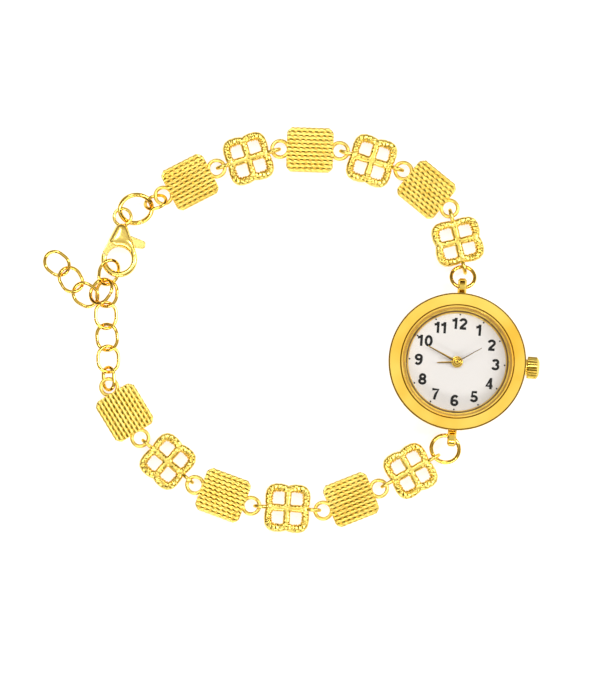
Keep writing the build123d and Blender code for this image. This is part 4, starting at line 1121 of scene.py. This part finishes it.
# %% The clasp's place and sizes
CLASP_HEADING, CLASP_DIP = math.radians(269.63), math.radians(-3)
CLASP_REACH, PIVOT_REACH, SHOULDER_REACH = 6.24, 3.12, 2.0
SHOULDER_RADIUS, HOOK_RADIUS, BORE_RADIUS = 1.0, 2.65, 1.8
BELLY_REACH, BELLY_BALL, BELLY_HALF, HOOK_HALF = 3.0, 6.0, 1.2, 0.5
BELLY_RADIUS, BELLY_RIM, HOOK_RIM, DOME_SHARE = 1.35, 0.3, 0.43, 0.3
BLEND_START, BLEND_END = 3.4, 5.6
SLOT_HALF, SLOT_END, SLOT_FADE, SLOT_COVER = 0.3, 4.75, 0.4, 0.1
EDGE_SHARE = 0.3
clasp_turn = Matrix.Rotation(CLASP_HEADING, 4, "Z") @ Matrix.Rotation(CLASP_DIP, 4, "Y")
pin_low, pin_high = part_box("clasp_pin")
clasp_start = (pin_low + pin_high) / 2 - clasp_turn @ Vector((PIVOT_REACH * MM, 0, 0))
clasp_place = Matrix.Translation(clasp_start) @ clasp_turn
print("clasp starts at, in mm:", [round(side / MM, 2) for side in clasp_start])


# %% How thick the clasp is at each point
def within(value):
    return min(max(value, 0), 1)


def eased(value):
    share = within(value)
    return share * share * (3 - 2 * share)


def drop_depth(x, y):
    """How far inside the drop-shaped outline a point is, in mm."""
    length = CLASP_REACH - SHOULDER_REACH
    lean = (SHOULDER_RADIUS - HOOK_RADIUS) / length
    rise = math.sqrt(1 - lean ** 2)
    side, along = abs(y), x - SHOULDER_REACH
    way = rise * along - lean * side
    if way < 0:
        return SHOULDER_RADIUS - math.hypot(side, along)
    if way > rise * length:
        return HOOK_RADIUS - math.hypot(side, along - length)
    return SHOULDER_RADIUS - rise * side - lean * along


def swollen(x, y, z):
    """The height that a point of the flat-sided clasp has once its sides are rounded."""
    depth = min(drop_depth(x, y), math.dist((x, y), (CLASP_REACH, 0)) - BORE_RADIUS)
    hooked = eased((x - BLEND_START) / (BLEND_END - BLEND_START))
    full = BELLY_HALF + (HOOK_HALF - BELLY_HALF) * hooked
    rim = within(depth / (BELLY_RIM + (HOOK_RIM - BELLY_RIM) * hooked))
    rim_height = EDGE_SHARE + (1 - EDGE_SHARE) * math.sqrt(1 - (1 - rim) ** 2)
    dome = 1 - DOME_SHARE * (1 - hooked) * (1 - within(depth / BELLY_RADIUS)) ** 2
    slot = SLOT_HALF * (1 - eased((x - SLOT_END) / SLOT_FADE))
    target = max(full * dome * rim_height, slot + SLOT_COVER)
    ball = math.sqrt(max(BELLY_BALL ** 2 - (x - BELLY_REACH) ** 2 - y ** 2, 0))
    belly = ball - BELLY_BALL + BELLY_HALF
    above = max(abs(z) - slot, 0) * (target - slot) / (max(HOOK_HALF, belly) - slot)
    return math.copysign(min(abs(z), slot) + above, z)


def swell_clasp(piece):
    """Reshapes a piece in the clasp's own frame, where X runs along it."""
    piece.data.transform(clasp_place.inverted())
    for corner in piece.data.vertices:
        corner.co.z = swollen(*(corner.co / MM)) * MM
    piece.data.transform(clasp_place)


# %% [markdown]
# Both pieces are cast and tumbled, so every edge is rounded. Beveling the edges of
# a CAD mesh one by one would be slow and would tear where many meet. So a merged
# copy of each solid is remeshed finely and smoothed. The pin's head is ground
# flush and plated over, so a short cylinder fills its hole before the remesh.

# %% Soften the clasp
MERGE_GAP = 0.0005
HOOK_GRAIN, HOOK_SMOOTHING, LEVER_GRAIN, LEVER_SMOOTHING = 0.055, 14, 0.04, 16
RIVET_RADIUS, RIVET_STEPS = 0.32, 32


def softened(node, name, finish, grain_mm, rounds, filling=None, reshape=None):
    """A copy of a CAD piece with rounded edges, shown in its place."""
    soft = copy_of(nodes[node], name, Matrix.Identity(4))
    # The copy is no CAD node, so it drops the node's parent and marks
    soft.parent = None
    for key in list(soft.keys()):
        del soft[key]
    open_edit(soft, "VERT")
    bpy.ops.mesh.select_all(action="SELECT")
    bpy.ops.mesh.remove_doubles(threshold=MERGE_GAP * MM)
    close_edit()
    if filling:
        soft = join([soft, filling], name)
    melted(soft, grain_mm, rounds, reshape)
    dress(soft, finish)
    print(name, "triangles:", triangles(soft))
    stand_for(soft, node)


rivet = add_shape(
    bpy.ops.mesh.primitive_cylinder_add, "ground_rivet", vertices=RIVET_STEPS, radius=RIVET_RADIUS * MM,
    depth=2 * BELLY_HALF * MM)
rivet.data.transform(clasp_place @ Matrix.Translation((PIVOT_REACH * MM, 0, 0)))
softened("clasp_body", "clasp_hook", buffed_gold, HOOK_GRAIN, HOOK_SMOOTHING, rivet, swell_clasp)
softened("clasp_lever", "clasp_thumb_lever", lit_buffed_gold, LEVER_GRAIN, LEVER_SMOOTHING)
